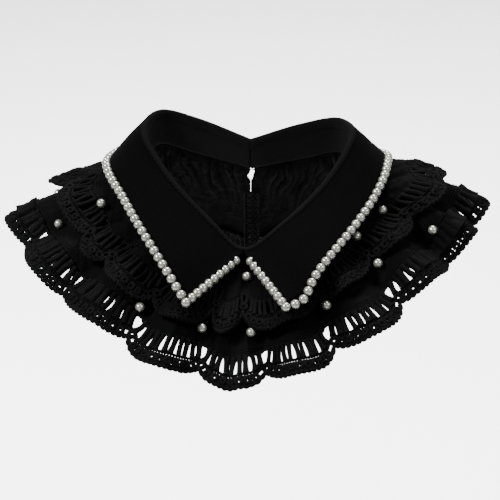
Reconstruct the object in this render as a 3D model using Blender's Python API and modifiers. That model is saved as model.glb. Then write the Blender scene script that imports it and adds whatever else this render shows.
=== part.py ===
"""Detachable lace collar: a pointed collar on a neck stand, edged with pearls, over two gathered
lace ruffles that fasten at the centre back.

The collar keeps the hollow form that it has round a neck. The origin is the middle of the neck
opening at the level of the shoulders, +Z is up and the centre front faces -Y. Sizes are in
millimetres and are scaled to metres where a mesh is made.

Every piece is laid out by the angle round the neck: 0 is the centre front, 90 the side and 180 the
centre back, with positive angles on the +X side.
"""

import math
from collections import namedtuple

import bmesh
import bpy
from mathutils import Vector
from mathutils.bvhtree import BVHTree

MM = 0.001
MERGE_DISTANCE = 0.00001
SEAM_GAP = 0.3
FACET_ALLOWANCE = 0.45
OBJECT_NAME = "lace_collar"

# Cloth and bead sizes
STAND_THICKNESS = 1.4
LEAF_THICKNESS = 1.2
RUFFLE_THICKNESS = 1.2
PEARL_RADIUS = 2.9
PEARL_NECK_RADIUS = 0.9

# The neck ring, one row for each 30 degrees from the centre front to the centre back.
# roll is the top fold of the collar, leaf the line of pearls along its free edge, fan the
# direction in which the ruffle leaves the neck, and slope how steeply it falls, at the neck seam
# and at the hem. stand, lower and upper are the depths of those pieces, with the upper ruffle's
# given for the left and the right side.
Station = namedtuple(
    "Station",
    "roll_x roll_y roll_z stand fan leaf_x leaf_y leaf_z slope_in slope_out lower upper_left upper_right",
)
STATION_STEP = 30
STATIONS = [
    Station(0.0, -48, -36, 14, 0, 29.3, -102, -48.5, 18, 34, 89, 55, 55),
    Station(19.5, -38, -25, 17, 25, 44.3, -85, -34.0, 13, 31, 92, 67, 60),
    Station(47.5, -16, -4, 23, 54, 70, -46, -15.5, 6, 25, 95, 64, 57),
    Station(65.0, 10, 16, 25, 90, 88, -5, -2.0, 5, 35, 96, 63, 62),
    Station(57.5, 34, 20.8, 24, 120, 85, 32, -4.5, 38, 54, 95, 62, 62),
    Station(32.5, 37, 14.6, 25, 151, 53, 58, -11.0, 56, 66, 94, 60, 60),
    Station(0.5, 30, 4.8, 21, 180, 4, 53, -22.0, 62, 70, 94, 60, 60),
]

# The front hangs a little to the -X side: how far, for each millimetre in front of LEAN_START.
# The back opening sits to the +X side, by BACK_SHIFT from BACK_SHIFT_END on. The neck tilts down to
# the +X side, and the ruffles tilt up there, by these rises in each millimetre.
LEAN_START = -33
LEAN = 0.09
BACK_SHIFT = 2.5
BACK_SHIFT_END = 30
NECK_TILT = -0.05
RUFFLE_TILT = 0.026
TILT_CHANGE_START = 60
TILT_CHANGE_WIDTH = 50

# The neck stand
STAND_LEAN = 3.0
STAND_DROP = 2.9
STAND_COLUMNS = 44
STAND_ROWS = 2

# The collar leaf, folded over the stand at the roll
ROLL_PROFILE = ((-0.3, -1.0), (1.4, 0.0), (3.4, -1.6))
LEAF_START_ANGLE = 2.0
LEAF_END_ANGLE = 179.5
LEAF_COLUMNS = 22
LEAF_ROWS = 4
LEAF_BULGE = 0.4
LEAF_COLUMN_CROWDING = 1.15
LEAF_INSET = PEARL_RADIUS + SEAM_GAP + 0.4
POINT_INSET = 5.9
CORNER_SPAN = 14
RIGHT_LEAF_BOW = 6.5
BOW_ANGLE = 9
FRONT_PEARL_X = 4.6
FRONT_PEARL_DROP = 7.0
FRONT_PEARL_OUT = 6.0

# The pearls strung along the edge of each leaf
PEARL_SPACING = 5.75
PEARL_SIDES = 6
PEARL_END_ANGLE = 179
FRONT_LINE_STEPS = 40
HALVINGS = 24

# The ruffles, one row for each scallop of the hem, from the centre back round the left side, the
# front and the right side to the centre back. start is where it begins, tuck how far the cloth
# dips there and notch how much deeper than the rest that cusp is, lift how far its middle stands
# proud and reach the share of its depth that shows.
Scallop = namedtuple("Scallop", "start tuck notch lift reach")
LOWER_SCALLOPS = [
    Scallop(-180, 2, 0, 5, 1.0),
    Scallop(-160, 3, 0, 6, 1.0),
    Scallop(-139, 3, 0, 5, 1.0),
    Scallop(-118, 3, 0, 6, 1.0),
    Scallop(-96, 3, 0, 5, 1.0),
    Scallop(-75.5, 3, 0, 5, 0.7),
    Scallop(-56, 4, 0, 3, 0.1),
    Scallop(-35, 4, 0, 6, 1.0),
    Scallop(-12, 4, 0, 4, 1.2),
    Scallop(11, 4, 0, 6, 1.1),
    Scallop(33, 4, 0, 6, 1.4),
    Scallop(50.5, 4, 0, 5, 0.6),
    Scallop(67, 8, 0, 5, 0.7),
    Scallop(81, 7, 0, 5, 0.8),
    Scallop(98, 3, 0, 5, 1.0),
    Scallop(118, 3, 0, 6, 1.0),
    Scallop(139, 3, 0, 5, 1.0),
    Scallop(160, 3, 0, 5, 1.0),
]
UPPER_SCALLOPS = [
    Scallop(-180, 1, 0, 4, 1.0),
    Scallop(-156, 1, 0, 5, 1.0),
    Scallop(-133, 1, 0, 4, 1.0),
    Scallop(-110, 1, 0, 5, 1.0),
    Scallop(-88.5, 1, 0, 5, 1.0),
    Scallop(-64.5, 1, 0, 3, 0.8),
    Scallop(-53, 1, 0, 5, 1.0),
    Scallop(-34.5, 1, 0, 5, 1.0),
    Scallop(-13, 1, 8, 3, 1.1),
    Scallop(2, 0, 6, 5, 1.2),
    Scallop(34, 1, 0, 5, 1.0),
    Scallop(53, 1, 0, 4, 1.0),
    Scallop(70, 1, 0, 5, 1.0),
    Scallop(90.5, 1, 0, 5, 1.0),
    Scallop(112, 1, 0, 5, 1.0),
    Scallop(134, 1, 0, 4, 1.0),
    Scallop(157, 1, 0, 4, 1.0),
]
HEM_END = 180
LOWER_SPLIT = 11
UPPER_SPLIT = 2
SCALLOP_DEPTH = 10.5
SCALLOP_ROUNDNESS = 0.85
BACK_START = 168
BACK_EDGE_GAP = 0.5
KEYHOLE_HALF_WIDTH = 2.4
KEYHOLE_LENGTH = 20.0

# The open ladder in each scallop, between the cloth and the corded border at the hem
BORDER_DEPTH = 9.5
LADDER_DEPTH = 9.0
GAP_SHARE = 0.58

# How each ruffle is divided: its first row, the gaps, columns and hem points of each scallop, and
# the rows of its body as shares of the way to the ladder
Tier = namedtuple("Tier", "name scallops split start gaps columns hem_points rows")
LOWER = Tier("lower_ruffle", LOWER_SCALLOPS, LOWER_SPLIT, -1.0, 10, 6, 8, (0.05, 0.16, 0.36, 0.64))
UPPER = Tier("upper_ruffle", UPPER_SCALLOPS, UPPER_SPLIT, 0.5, 6, 6, 8, (0.08, 0.3, 0.64))
UPPER_CLEARANCE = 2.8
NORMAL_STEP = 2.0
SPLIT_MARGIN = 0.25
GATHERS_PER_SCALLOP = 2
GATHER_HEIGHT = 1.4
GATHER_RISE = 9.0
GATHER_REACH = 46.0

# The pearls sewn singly on the ruffles, by angle and distance from the neck seam
LoosePearl = namedtuple("LoosePearl", "tier angle distance")
LOOSE_PEARLS = [
    LoosePearl("lower", -160, 61),
    LoosePearl("lower", -139, 61),
    LoosePearl("lower", -118, 60),
    LoosePearl("lower", -96, 61),
    LoosePearl("lower", -75.5, 61),
    LoosePearl("lower", -36.5, 65),
    LoosePearl("lower", -15, 55.5),
    LoosePearl("lower", 6.5, 52.5),
    LoosePearl("lower", 35.5, 56.5),
    LoosePearl("lower", 53.5, 53.5),
    LoosePearl("lower", 70, 65),
    LoosePearl("lower", 98, 61),
    LoosePearl("lower", 118, 60),
    LoosePearl("lower", 139, 61),
    LoosePearl("lower", 160, 61),
    LoosePearl("upper", -156, 37),
    LoosePearl("upper", -133, 37),
    LoosePearl("upper", -115, 37),
    LoosePearl("upper", -71, 35),
    LoosePearl("upper", 4, 12),
    LoosePearl("upper", 56, 30),
    LoosePearl("upper", 69, 31),
    LoosePearl("upper", 115, 37),
    LoosePearl("upper", 134, 37),
    LoosePearl("upper", 157, 37),
]
LOOSE_PEARL_SEAT = PEARL_RADIUS + SEAM_GAP
SEAT_STEPS = 12

# The button and loop that close the stand at the centre back, outside it and under the leaf
BUTTON_RADIUS = 4.5
BUTTON_HEIGHT = 3.0
BUTTON_UNDERSIDE = 1.4
BUTTON_EDGE = 0.4
SHANK_RADIUS = 1.2
BUTTON_STEPS = 20
BUTTON_OFF_CENTRE = 5.0
BUTTON_BELOW_ROLL = 11.0
BUTTON_SEAT = 0.5
BUTTON_FIT_ANGLE = 175
LOOP_RADIUS = 0.5
LOOP_HALF_WIDTH = 1.9
LOOP_REACH = 6.0
LOOP_ARC_STEPS = 6


def clear_scene():
    for obj in list(bpy.data.objects):
        bpy.data.objects.remove(obj)


def parts_collection():
    parts = bpy.data.collections.new(OBJECT_NAME)
    bpy.context.scene.collection.children.link(parts)
    return parts


def material(name, colour, roughness):
    made = bpy.data.materials.new(name)
    made.use_nodes = True
    shader = made.node_tree.nodes["Principled BSDF"]
    shader.inputs["Base Color"].default_value = (*colour, 1)
    shader.inputs["Roughness"].default_value = roughness
    shader.inputs["Metallic"].default_value = 0
    return made


def cubic(before, first, second, after, share):
    """A Catmull-Rom curve from first to second."""
    return first + 0.5 * share * (
        second - before
        + share * (2 * before - 5 * first + 4 * second - after + share * (3 * (first - second) + after - before))
    )


def station_value(column, angle):
    """A column of the neck table at an angle from 0 to 180. An x or a direction is odd at the centre front."""
    values = [getattr(row, column) for row in STATIONS]
    mirror = -1 if column in ("roll_x", "fan") else 1
    place = min(max(angle / STATION_STEP, 0), len(values) - 1)
    index = min(int(place), len(values) - 2)
    before = values[index - 1] if index else mirror * values[1]
    if column.startswith("leaf") and not index:
        before = 2 * values[0] - values[1]
    after = values[index + 2] if index + 2 < len(values) else 2 * values[-1] - values[-2]
    return cubic(before, values[index], values[index + 1], after, place - index)


def side_of(angle):
    return -1 if angle < 0 else 1


def fan_direction(angle):
    fan = math.radians(station_value("fan", abs(angle)))
    return Vector((side_of(angle) * math.sin(fan), -math.cos(fan), 0))


def leaned(point):
    """A point of the even collar, moved by the lean, the shift and the tilts."""
    change = smoothstep((abs(point.x) - TILT_CHANGE_START) / TILT_CHANGE_WIDTH)
    tilt = NECK_TILT + (RUFFLE_TILT - NECK_TILT) * change
    across = BACK_SHIFT * smoothstep(point.y / BACK_SHIFT_END) - LEAN * max(LEAN_START - point.y, 0)
    return Vector((point.x + across, point.y, point.z + tilt * point.x))


def roll_point(angle):
    """The top fold, before the lean."""
    turn = abs(angle)
    x, y, z = (station_value(column, turn) for column in ("roll_x", "roll_y", "roll_z"))
    return Vector((side_of(angle) * x, y, z))


def leaf_edge_point(side, angle):
    """The line of pearls, before the lean. The right leaf bows out behind its point."""
    x, y, z = (station_value(column, angle) for column in ("leaf_x", "leaf_y", "leaf_z"))
    if side > 0:
        x += RIGHT_LEAF_BOW * angle / BOW_ANGLE * math.exp(1 - angle / BOW_ANGLE)
    return Vector((side * x, y, z))


def smoothstep(value):
    value = min(max(value, 0), 1)
    return value * value * (3 - 2 * value)


def seam_point(angle):
    """The neck seam, at the foot of the stand."""
    down = Vector((0, 0, station_value("stand", abs(angle))))
    return roll_point(angle) + fan_direction(angle) * STAND_LEAN - down


def drape_point(angle, distance):
    """The smooth surface that the ruffles follow, at a distance from the neck seam along the cloth."""
    turn = abs(angle)
    slope_in = math.radians(station_value("slope_in", turn))
    slope_out = math.radians(station_value("slope_out", turn))
    bend = (slope_out - slope_in) / station_value("lower", turn)
    slope = slope_in + bend * distance
    reach = (math.sin(slope) - math.sin(slope_in)) / bend
    drop = (math.cos(slope_in) - math.cos(slope)) / bend
    return seam_point(angle) + fan_direction(angle) * reach - Vector((0, 0, drop))


def drape_normal(angle, distance):
    """The outward normal of that surface."""
    low, high = max(angle - NORMAL_STEP, -180), min(angle + NORMAL_STEP, 180)
    across = drape_point(high, distance) - drape_point(low, distance)
    along = drape_point(angle, distance + NORMAL_STEP) - drape_point(angle, distance - NORMAL_STEP)
    return along.cross(across).normalized()


def scallop_place(angle, row):
    """The scallop at an angle, the row of its nearer cusp, and how far through it, from 0 to 1."""
    index = max(k for k, s in enumerate(row) if s.start <= angle or k == 0)
    following = row[index + 1] if index + 1 < len(row) else row[0]._replace(start=HEM_END)
    scallop = row[index]
    share = (angle - scallop.start) / (following.start - scallop.start)
    return scallop, scallop if share < 0.5 else following, share


def scallop_arc(share):
    """The rounded outline of one scallop: 0 at its cusps and 1 at its middle."""
    offset = 2 * share - 1
    low = math.sqrt(1 - SCALLOP_ROUNDNESS)
    return (math.sqrt(1 - SCALLOP_ROUNDNESS * offset * offset) - low) / (1 - low)


def wave_height(angle, share_of_depth, row):
    """Ruffle waves: each scallop stands proud and each cusp is tucked, more so towards the hem."""
    scallop, cusp, share = scallop_place(angle, row)
    wave = 0.5 - 0.5 * math.cos(2 * math.pi * share)
    return (scallop.lift * wave - cusp.tuck * (1 - wave)) * smoothstep(share_of_depth)


def gather_height(angle, distance, row):
    """How deep the small gathers are that start at the neck seam and die out down the cloth."""
    share = scallop_place(angle, row)[2]
    wave = 0.5 + 0.5 * math.cos(2 * math.pi * GATHERS_PER_SCALLOP * share)
    fade = smoothstep(distance / GATHER_RISE) * (1 - smoothstep(distance / GATHER_REACH))
    return GATHER_HEIGHT * wave * fade


def lower_depth(angle):
    return station_value("lower", abs(angle))


def upper_depth(angle):
    return station_value("upper_left" if angle < 0 else "upper_right", abs(angle))


def lower_height(angle, distance):
    wave = wave_height(angle, distance / lower_depth(angle), LOWER_SCALLOPS)
    return wave - gather_height(angle, distance, LOWER_SCALLOPS)


def upper_height(angle, distance):
    """The upper ruffle rides on the lower one's waves and adds its own above them."""
    under = wave_height(angle, distance / lower_depth(angle), LOWER_SCALLOPS)
    own = wave_height(angle, distance / upper_depth(angle), UPPER_SCALLOPS)
    rise = UPPER_CLEARANCE * smoothstep(distance / GATHER_RISE)
    gathers = gather_height(angle, distance, UPPER_SCALLOPS)
    return RUFFLE_THICKNESS + SEAM_GAP + rise + max(under, 0) + max(own, 0) - gathers


def back_gap(distance):
    """Half the opening at the centre back: a keyhole under the stand, then edge to edge."""
    bump = math.sin(math.pi * min(max(distance / KEYHOLE_LENGTH, 0), 1))
    return BACK_EDGE_GAP + KEYHOLE_HALF_WIDTH * bump


def ruffle_point(angle, distance, height):
    point = drape_point(angle, distance) + drape_normal(angle, distance) * height(angle, distance)
    if abs(angle) > BACK_START:
        least = back_gap(distance) * smoothstep((abs(angle) - BACK_START) / (HEM_END - BACK_START))
        point.x = side_of(angle) * max(abs(point.x), least)
    return point


def mesh_object(name, bm, parts, finish):
    mesh = bpy.data.meshes.new(name)
    bm.to_mesh(mesh)
    bm.free()
    mesh.materials.append(finish)
    mesh.shade_smooth()
    obj = bpy.data.objects.new(name, mesh)
    parts.objects.link(obj)
    return obj


def finish_mesh(name, bm, parts, finish, thickness=None):
    """Leans a bmesh and turns it from millimetres to metres, with a wall if a thickness is given."""
    for vertex in bm.verts:
        vertex.co = leaned(vertex.co)
    bmesh.ops.scale(bm, vec=(MM, MM, MM), verts=bm.verts)
    obj = mesh_object(name, bm, parts, finish)
    if thickness:
        wall = obj.modifiers.new("wall", "SOLIDIFY")
        wall.thickness = thickness * MM
        wall.offset = -1
    return obj


def grid_faces(bm, rows):
    """Quads between rows that have the same number of points."""
    for upper, lower in zip(rows, rows[1:]):
        for a, b, c, d in zip(upper, lower, lower[1:], upper[1:]):
            bm.faces.new((a, b, c, d))


def zip_faces(bm, upper, lower):
    """Triangles between two rows of (angle, vertex) that have different numbers of points."""
    i = j = 0
    while i + 1 < len(upper) or j + 1 < len(lower):
        step_upper = j + 1 == len(lower) or (
            i + 1 < len(upper) and upper[i + 1][0] + upper[i][0] < lower[j + 1][0] + lower[j][0]
        )
        if step_upper:
            bm.faces.new((upper[i][1], lower[j][1], upper[i + 1][1]))
            i += 1
        else:
            bm.faces.new((upper[i][1], lower[j][1], lower[j + 1][1]))
            j += 1


def scallop_spans(tier, side):
    """The start and end of each scallop on one side of the tier's split."""
    starts = [s.start for s in tier.scallops] + [HEM_END]
    spans = list(zip(starts, starts[1:]))
    return [span for span in spans if (span[0] >= tier.split) == (side > 0)]


def divided(spans, shares):
    """The angle at each share of every scallop, between ends that stop just short of the split."""
    angles = [start + (end - start) * share for start, end in spans for share in shares]
    first, last = spans[0][0], spans[-1][1]
    inner = [a for a in angles if a > first]
    return [first + SPLIT_MARGIN] + inner + [last - SPLIT_MARGIN]


def build_ruffle(side, tier, depth, height, parts, finish):
    """One half of a ruffle: cloth gathered at the neck, a cut ladder and a scalloped border."""
    bm = bmesh.new()
    spans = scallop_spans(tier, side)

    def hem_distance(angle):
        scallop, cusp, share = scallop_place(angle, tier.scallops)
        arc = scallop_arc(share)
        return depth(angle) - SCALLOP_DEPTH * (1 - scallop.reach * arc) - cusp.notch * (1 - arc)

    def ladder_foot(angle):
        return hem_distance(angle) - BORDER_DEPTH

    def ladder_top(angle):
        return ladder_foot(angle) - LADDER_DEPTH

    def line(angles, distance_at):
        return [(a, bm.verts.new(ruffle_point(a, distance_at(a), height))) for a in angles]

    def neck_edge(angle):
        if tier.start > 0:
            return ruffle_point(angle, tier.start, height)
        tucked = seam_point(angle) + fan_direction(angle) * tier.start
        tucked.z -= SEAM_GAP + FACET_ALLOWANCE
        if abs(angle) > BACK_START:
            tucked.x = side_of(angle) * max(abs(tucked.x), BACK_EDGE_GAP)
        return tucked

    even = [k / tier.columns for k in range(tier.columns)]
    gap_sides = [(gap + 0.5 + s * GAP_SHARE / 2) / tier.gaps for gap in range(tier.gaps) for s in (-1, 1)]
    body_angles = divided(spans, even)
    body = [[(a, bm.verts.new(neck_edge(a))) for a in body_angles]]
    for part in tier.rows:
        body.append(line(body_angles, lambda a, part=part: ladder_top(a) * part))
    top = line(divided(spans, gap_sides), ladder_top)
    foot = line([a for a, _ in top], ladder_foot)
    hem = line(divided(spans, [k / tier.hem_points for k in range(tier.hem_points)]), hem_distance)
    grid_faces(bm, [[vertex for _, vertex in points] for points in body])
    zip_faces(bm, body[-1], top)
    for bar in range(0, len(top), 2):
        bm.faces.new((top[bar][1], foot[bar][1], foot[bar + 1][1], top[bar + 1][1]))
    zip_faces(bm, foot, hem)
    name = tier.name + ("_right" if side > 0 else "_left")
    return finish_mesh(name, bm, parts, finish, RUFFLE_THICKNESS)


def build_stand(parts, finish):
    """The neck stand, one strip round the neck that opens at the centre back."""
    bm = bmesh.new()
    rows = []
    for row in range(STAND_ROWS + 1):
        share = row / STAND_ROWS
        points = []
        for column in range(STAND_COLUMNS + 1):
            angle = -180 + 360 * column / STAND_COLUMNS
            top = roll_point(angle) - Vector((0, 0, STAND_DROP))
            point = top.lerp(seam_point(angle), share)
            points.append(bm.verts.new(point))
        rows.append(points)
    grid_faces(bm, rows)
    return finish_mesh("neck_stand", bm, parts, finish, STAND_THICKNESS)


def front_pearl_start(side):
    roll = roll_point(0)
    return Vector((side * FRONT_PEARL_X, roll.y - FRONT_PEARL_OUT, roll.z - FRONT_PEARL_DROP))


def leaf_corner(side):
    """The cloth at the collar point, inside the pearl that sits on it."""
    tip = leaf_edge_point(side, 0)
    along_front = (front_pearl_start(side) - tip).normalized()
    along_side = (leaf_edge_point(side, CORNER_SPAN) - tip).normalized()
    return tip + (along_front + along_side).normalized() * POINT_INSET


def leaf_cloth_edge(side, angle):
    """The free edge of the leaf's cloth, set in from the pearls."""
    edge = leaf_edge_point(side, angle)
    inset = edge + (roll_point(side * angle) - edge).normalized() * LEAF_INSET
    return leaf_corner(side).lerp(inset, smoothstep(angle / CORNER_SPAN))


def build_leaf(name, side, parts, finish):
    """Half the collar leaf: it rolls over the stand and falls to a straight edge with a point in front."""
    bm = bmesh.new()
    columns = []
    for column in range(LEAF_COLUMNS + 1):
        share = (column / LEAF_COLUMNS) ** LEAF_COLUMN_CROWDING
        angle = LEAF_START_ANGLE + (LEAF_END_ANGLE - LEAF_START_ANGLE) * share
        roll = roll_point(side * angle)
        out = fan_direction(side * angle)
        points = [roll + out * o + Vector((0, 0, h)) for o, h in ROLL_PROFILE]
        start = points[-1]
        end = leaf_cloth_edge(side, angle - LEAF_START_ANGLE)
        lift = (out + Vector((0, 0, 1))).normalized()
        for row in range(1, LEAF_ROWS + 1):
            fall = row / LEAF_ROWS
            points.append(start.lerp(end, fall) + lift * LEAF_BULGE * math.sin(math.pi * fall))
        columns.append([bm.verts.new(p) for p in points])
    rows = list(zip(*columns))
    grid_faces(bm, rows if side > 0 else [row[::-1] for row in rows])
    return finish_mesh(name, bm, parts, finish, LEAF_THICKNESS)


def pearl_line(side):
    """Points along the line of pearls: down the front edge to the collar point, then round to the back."""
    start = front_pearl_start(side)
    tip = leaf_edge_point(side, 0)
    front = [start.lerp(tip, k / FRONT_LINE_STEPS) for k in range(FRONT_LINE_STEPS)]
    return front + [leaf_edge_point(side, angle) for angle in range(PEARL_END_ANGLE)]


def spaced(line, spacing):
    """Points a fixed distance apart along a fine line."""
    found = [line[0]]
    for a, b in zip(line, line[1:]):
        while (b - found[-1]).length >= spacing:
            low, high = 0.0, 1.0
            for _ in range(HALVINGS):
                middle = (low + high) / 2
                if (a.lerp(b, middle) - found[-1]).length < spacing:
                    low = middle
                else:
                    high = middle
            found.append(a.lerp(b, high))
    return found


def build_pearl_row(name, side, parts, finish):
    """A string of pearls as one solid: each bead is two wide rings between two narrow ones."""
    bm = bmesh.new()
    centres = spaced(pearl_line(side), PEARL_SPACING)
    rings = []
    half = PEARL_RADIUS / 2
    wide = math.sqrt(PEARL_RADIUS**2 - half**2)
    for index, centre in enumerate(centres):
        before = centres[max(index - 1, 0)]
        after = centres[min(index + 1, len(centres) - 1)]
        along = (after - before).normalized()
        stops = [(-PEARL_SPACING / 2, PEARL_NECK_RADIUS), (-half, wide), (half, wide)]
        if index == len(centres) - 1:
            stops.append((PEARL_SPACING / 2, PEARL_NECK_RADIUS))
        across = along.cross(Vector((0, 0, 1))).normalized()
        up = across.cross(along)
        for offset, radius in stops:
            ring = []
            for corner in range(PEARL_SIDES):
                turn = 2 * math.pi * corner / PEARL_SIDES
                spoke = across * math.cos(turn) + up * math.sin(turn)
                ring.append(bm.verts.new(centre + along * offset + spoke * radius))
            rings.append(ring)
    for a, b in zip(rings, rings[1:]):
        for corner in range(PEARL_SIDES):
            following = (corner + 1) % PEARL_SIDES
            bm.faces.new((a[corner], a[following], b[following], b[corner]))
    bm.faces.new(rings[0][::-1])
    bm.faces.new(rings[-1])
    bmesh.ops.recalc_face_normals(bm, faces=bm.faces)
    return finish_mesh(name, bm, parts, finish)


def build_loose_pearl(name, spot, height, cloth, parts, finish):
    """One pearl sewn to a ruffle: it is moved along the cloth's normal until it rests on its faces."""
    normal = drape_normal(spot.angle, spot.distance)
    seat = leaned(ruffle_point(spot.angle, spot.distance, height)) * MM
    seat += normal * LOOSE_PEARL_SEAT * MM
    for _ in range(SEAT_STEPS):
        nearest = cloth.find_nearest(seat)[0]
        seat += normal * (LOOSE_PEARL_SEAT * MM - (seat - nearest).length)
    bm = bmesh.new()
    bmesh.ops.create_icosphere(bm, subdivisions=1, radius=PEARL_RADIUS * MM)
    obj = mesh_object(name, bm, parts, finish)
    obj.location = seat
    return obj


def back_place(across, out):
    """A place level with the button, this far outside the stand where it is furthest back."""
    share = BUTTON_BELOW_ROLL / station_value("stand", BUTTON_FIT_ANGLE)
    face = roll_point(BUTTON_FIT_ANGLE).lerp(seam_point(BUTTON_FIT_ANGLE), share)
    height = station_value("roll_z", HEM_END) - BUTTON_BELOW_ROLL
    return Vector((BACK_SHIFT + across, face.y + out, height))


def build_button(parts, finish):
    """A turned button with a shank, its axis pointing out of the back of the stand."""
    profile = (
        (0, BUTTON_HEIGHT),
        (BUTTON_RADIUS - BUTTON_EDGE, BUTTON_HEIGHT),
        (BUTTON_RADIUS, BUTTON_HEIGHT - BUTTON_EDGE),
        (BUTTON_RADIUS, BUTTON_UNDERSIDE),
        (SHANK_RADIUS, BUTTON_UNDERSIDE),
        (SHANK_RADIUS, 0),
        (0, 0),
    )
    bm = bmesh.new()
    points = [bm.verts.new((r * MM, 0, h * MM)) for r, h in profile]
    for a, b in zip(points, points[1:]):
        bm.edges.new((a, b))
    obj = mesh_object("back_button", bm, parts, finish)
    screw = obj.modifiers.new("turn", "SCREW")
    screw.steps = screw.render_steps = BUTTON_STEPS
    screw.use_merge_vertices = True
    screw.merge_threshold = MERGE_DISTANCE
    obj.rotation_euler = (-math.pi / 2, 0, 0)
    obj.location = back_place(-BUTTON_OFF_CENTRE, BUTTON_SEAT) * MM
    return obj


def build_loop(parts, finish):
    """A cord loop sewn to the other end of the stand, round the button's shank."""
    bend = -BUTTON_OFF_CENTRE
    route = [(LOOP_REACH, LOOP_HALF_WIDTH)]
    for step in range(LOOP_ARC_STEPS + 1):
        turn = math.pi / 2 + math.pi * step / LOOP_ARC_STEPS
        route.append((bend + LOOP_HALF_WIDTH * math.cos(turn), LOOP_HALF_WIDTH * math.sin(turn)))
    route.append((LOOP_REACH, -LOOP_HALF_WIDTH))
    curve = bpy.data.curves.new("button_loop", "CURVE")
    curve.dimensions = "3D"
    curve.bevel_depth = LOOP_RADIUS * MM
    curve.bevel_resolution = 1
    curve.use_fill_caps = True
    spline = curve.splines.new("POLY")
    spline.points.add(len(route) - 1)
    for point, (across, up) in zip(spline.points, route):
        place = back_place(across, BUTTON_SEAT + LOOP_RADIUS) + Vector((0, 0, up))
        point.co = (*(place * MM), 1)
    curve.materials.append(finish)
    obj = bpy.data.objects.new("button_loop", curve)
    parts.objects.link(obj)
    return obj


RUFFLES = {
    "lower": (LOWER, lower_depth, lower_height),
    "upper": (UPPER, upper_depth, upper_height),
}


def main():
    clear_scene()
    parts = parts_collection()
    cloth = material("black_poplin", (0.012, 0.012, 0.013), 0.75)
    lace = material("black_lace", (0.010, 0.010, 0.011), 0.85)
    pearl = material("pearl", (0.86, 0.85, 0.82), 0.22)
    button = material("black_button", (0.015, 0.015, 0.016), 0.3)
    build_stand(parts, cloth)
    build_button(parts, button)
    build_loop(parts, cloth)
    build_leaf("collar_leaf_left", -1, parts, cloth)
    build_leaf("collar_leaf_right", 1, parts, cloth)
    build_pearl_row("pearl_row_left", -1, parts, pearl)
    build_pearl_row("pearl_row_right", 1, parts, pearl)
    cloths = {}
    for side in (-1, 1):
        for key, (tier, depth, height) in RUFFLES.items():
            ruffle = build_ruffle(side, tier, depth, height, parts, lace)
            cloths[key, side] = BVHTree.FromObject(ruffle, bpy.context.evaluated_depsgraph_get())
    for number, spot in enumerate(LOOSE_PEARLS, 1):
        tier, _, height = RUFFLES[spot.tier]
        cloth = cloths[spot.tier, side_of(spot.angle - tier.split)]
        build_loose_pearl(f"loose_pearl_{number:02d}", spot, height, cloth, parts, pearl)


main()
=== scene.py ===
# %% [markdown]
# # A lace collar, dressed for its photograph
#
# The frame below is the plain solid collar. This lesson puts the real cloth,
# lace and pearls on it. Everything is laid out by the angle round the neck: 0 is the centre front,
# 90 the side, 180 the centre back, and positive angles are on the +X side.

import math
from collections import namedtuple
from functools import lru_cache

import bpy
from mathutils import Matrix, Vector, noise


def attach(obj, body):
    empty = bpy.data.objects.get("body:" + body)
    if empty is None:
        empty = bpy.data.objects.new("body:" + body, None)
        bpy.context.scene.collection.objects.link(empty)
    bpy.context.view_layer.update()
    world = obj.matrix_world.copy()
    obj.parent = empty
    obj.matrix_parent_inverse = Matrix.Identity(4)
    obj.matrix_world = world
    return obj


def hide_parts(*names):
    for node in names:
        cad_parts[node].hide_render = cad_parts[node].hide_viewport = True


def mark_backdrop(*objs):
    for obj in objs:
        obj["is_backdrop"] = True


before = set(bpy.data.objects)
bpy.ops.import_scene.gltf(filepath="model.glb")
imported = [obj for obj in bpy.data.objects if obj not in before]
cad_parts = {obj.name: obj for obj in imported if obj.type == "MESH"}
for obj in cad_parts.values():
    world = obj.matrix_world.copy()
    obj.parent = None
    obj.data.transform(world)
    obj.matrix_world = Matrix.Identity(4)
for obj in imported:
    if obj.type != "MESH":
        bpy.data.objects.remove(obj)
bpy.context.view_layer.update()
MM = 0.001

# %% [markdown]
# ## The camera and the light
#
# The photograph looks down at the collar by about a quarter of a right angle, from far enough away
# that the front and back keep their proportions. A long lens does that. The light comes from large
# soft lamps, because black cloth shows its folds only where it mirrors something wide and pale.
# The floor lies well below the collar, which is held up as if round a neck.

# %% Camera
CAMERA_TARGET = Vector((0.002, 0.0, -0.0606))
CAMERA_DISTANCE = 0.993
CAMERA_ELEVATION = math.radians(25)
CAMERA_LENS = 110


def placed(name, data):
    """A new object in the scene."""
    made = bpy.data.objects.new(name, data)
    bpy.context.scene.collection.objects.link(made)
    return made


def add_camera():
    data = bpy.data.cameras.new("photo_camera")
    data.lens = CAMERA_LENS
    camera = placed("photo_camera", data)
    back = Vector((0, -math.cos(CAMERA_ELEVATION), math.sin(CAMERA_ELEVATION)))
    camera.location = CAMERA_TARGET + back * CAMERA_DISTANCE
    camera.rotation_euler = (math.pi / 2 - CAMERA_ELEVATION, 0, 0)
    bpy.context.scene.camera = camera


add_camera()

# %% Lamps and floor
Lamp = namedtuple("Lamp", "name place size power")
LAMPS = [
    Lamp("key_lamp", (-1.3, -0.5, 1.3), 0.55, 190),
    Lamp("fill_lamp", (1.5, -0.9, 1.5), 0.9, 60),
    Lamp("top_lamp", (0.3, 1.1, 1.9), 1.0, 200),
]
SKY_STRENGTH = 1.25
FLOOR_DROP = 0.5
FLOOR_SIZE = 9.0


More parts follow.
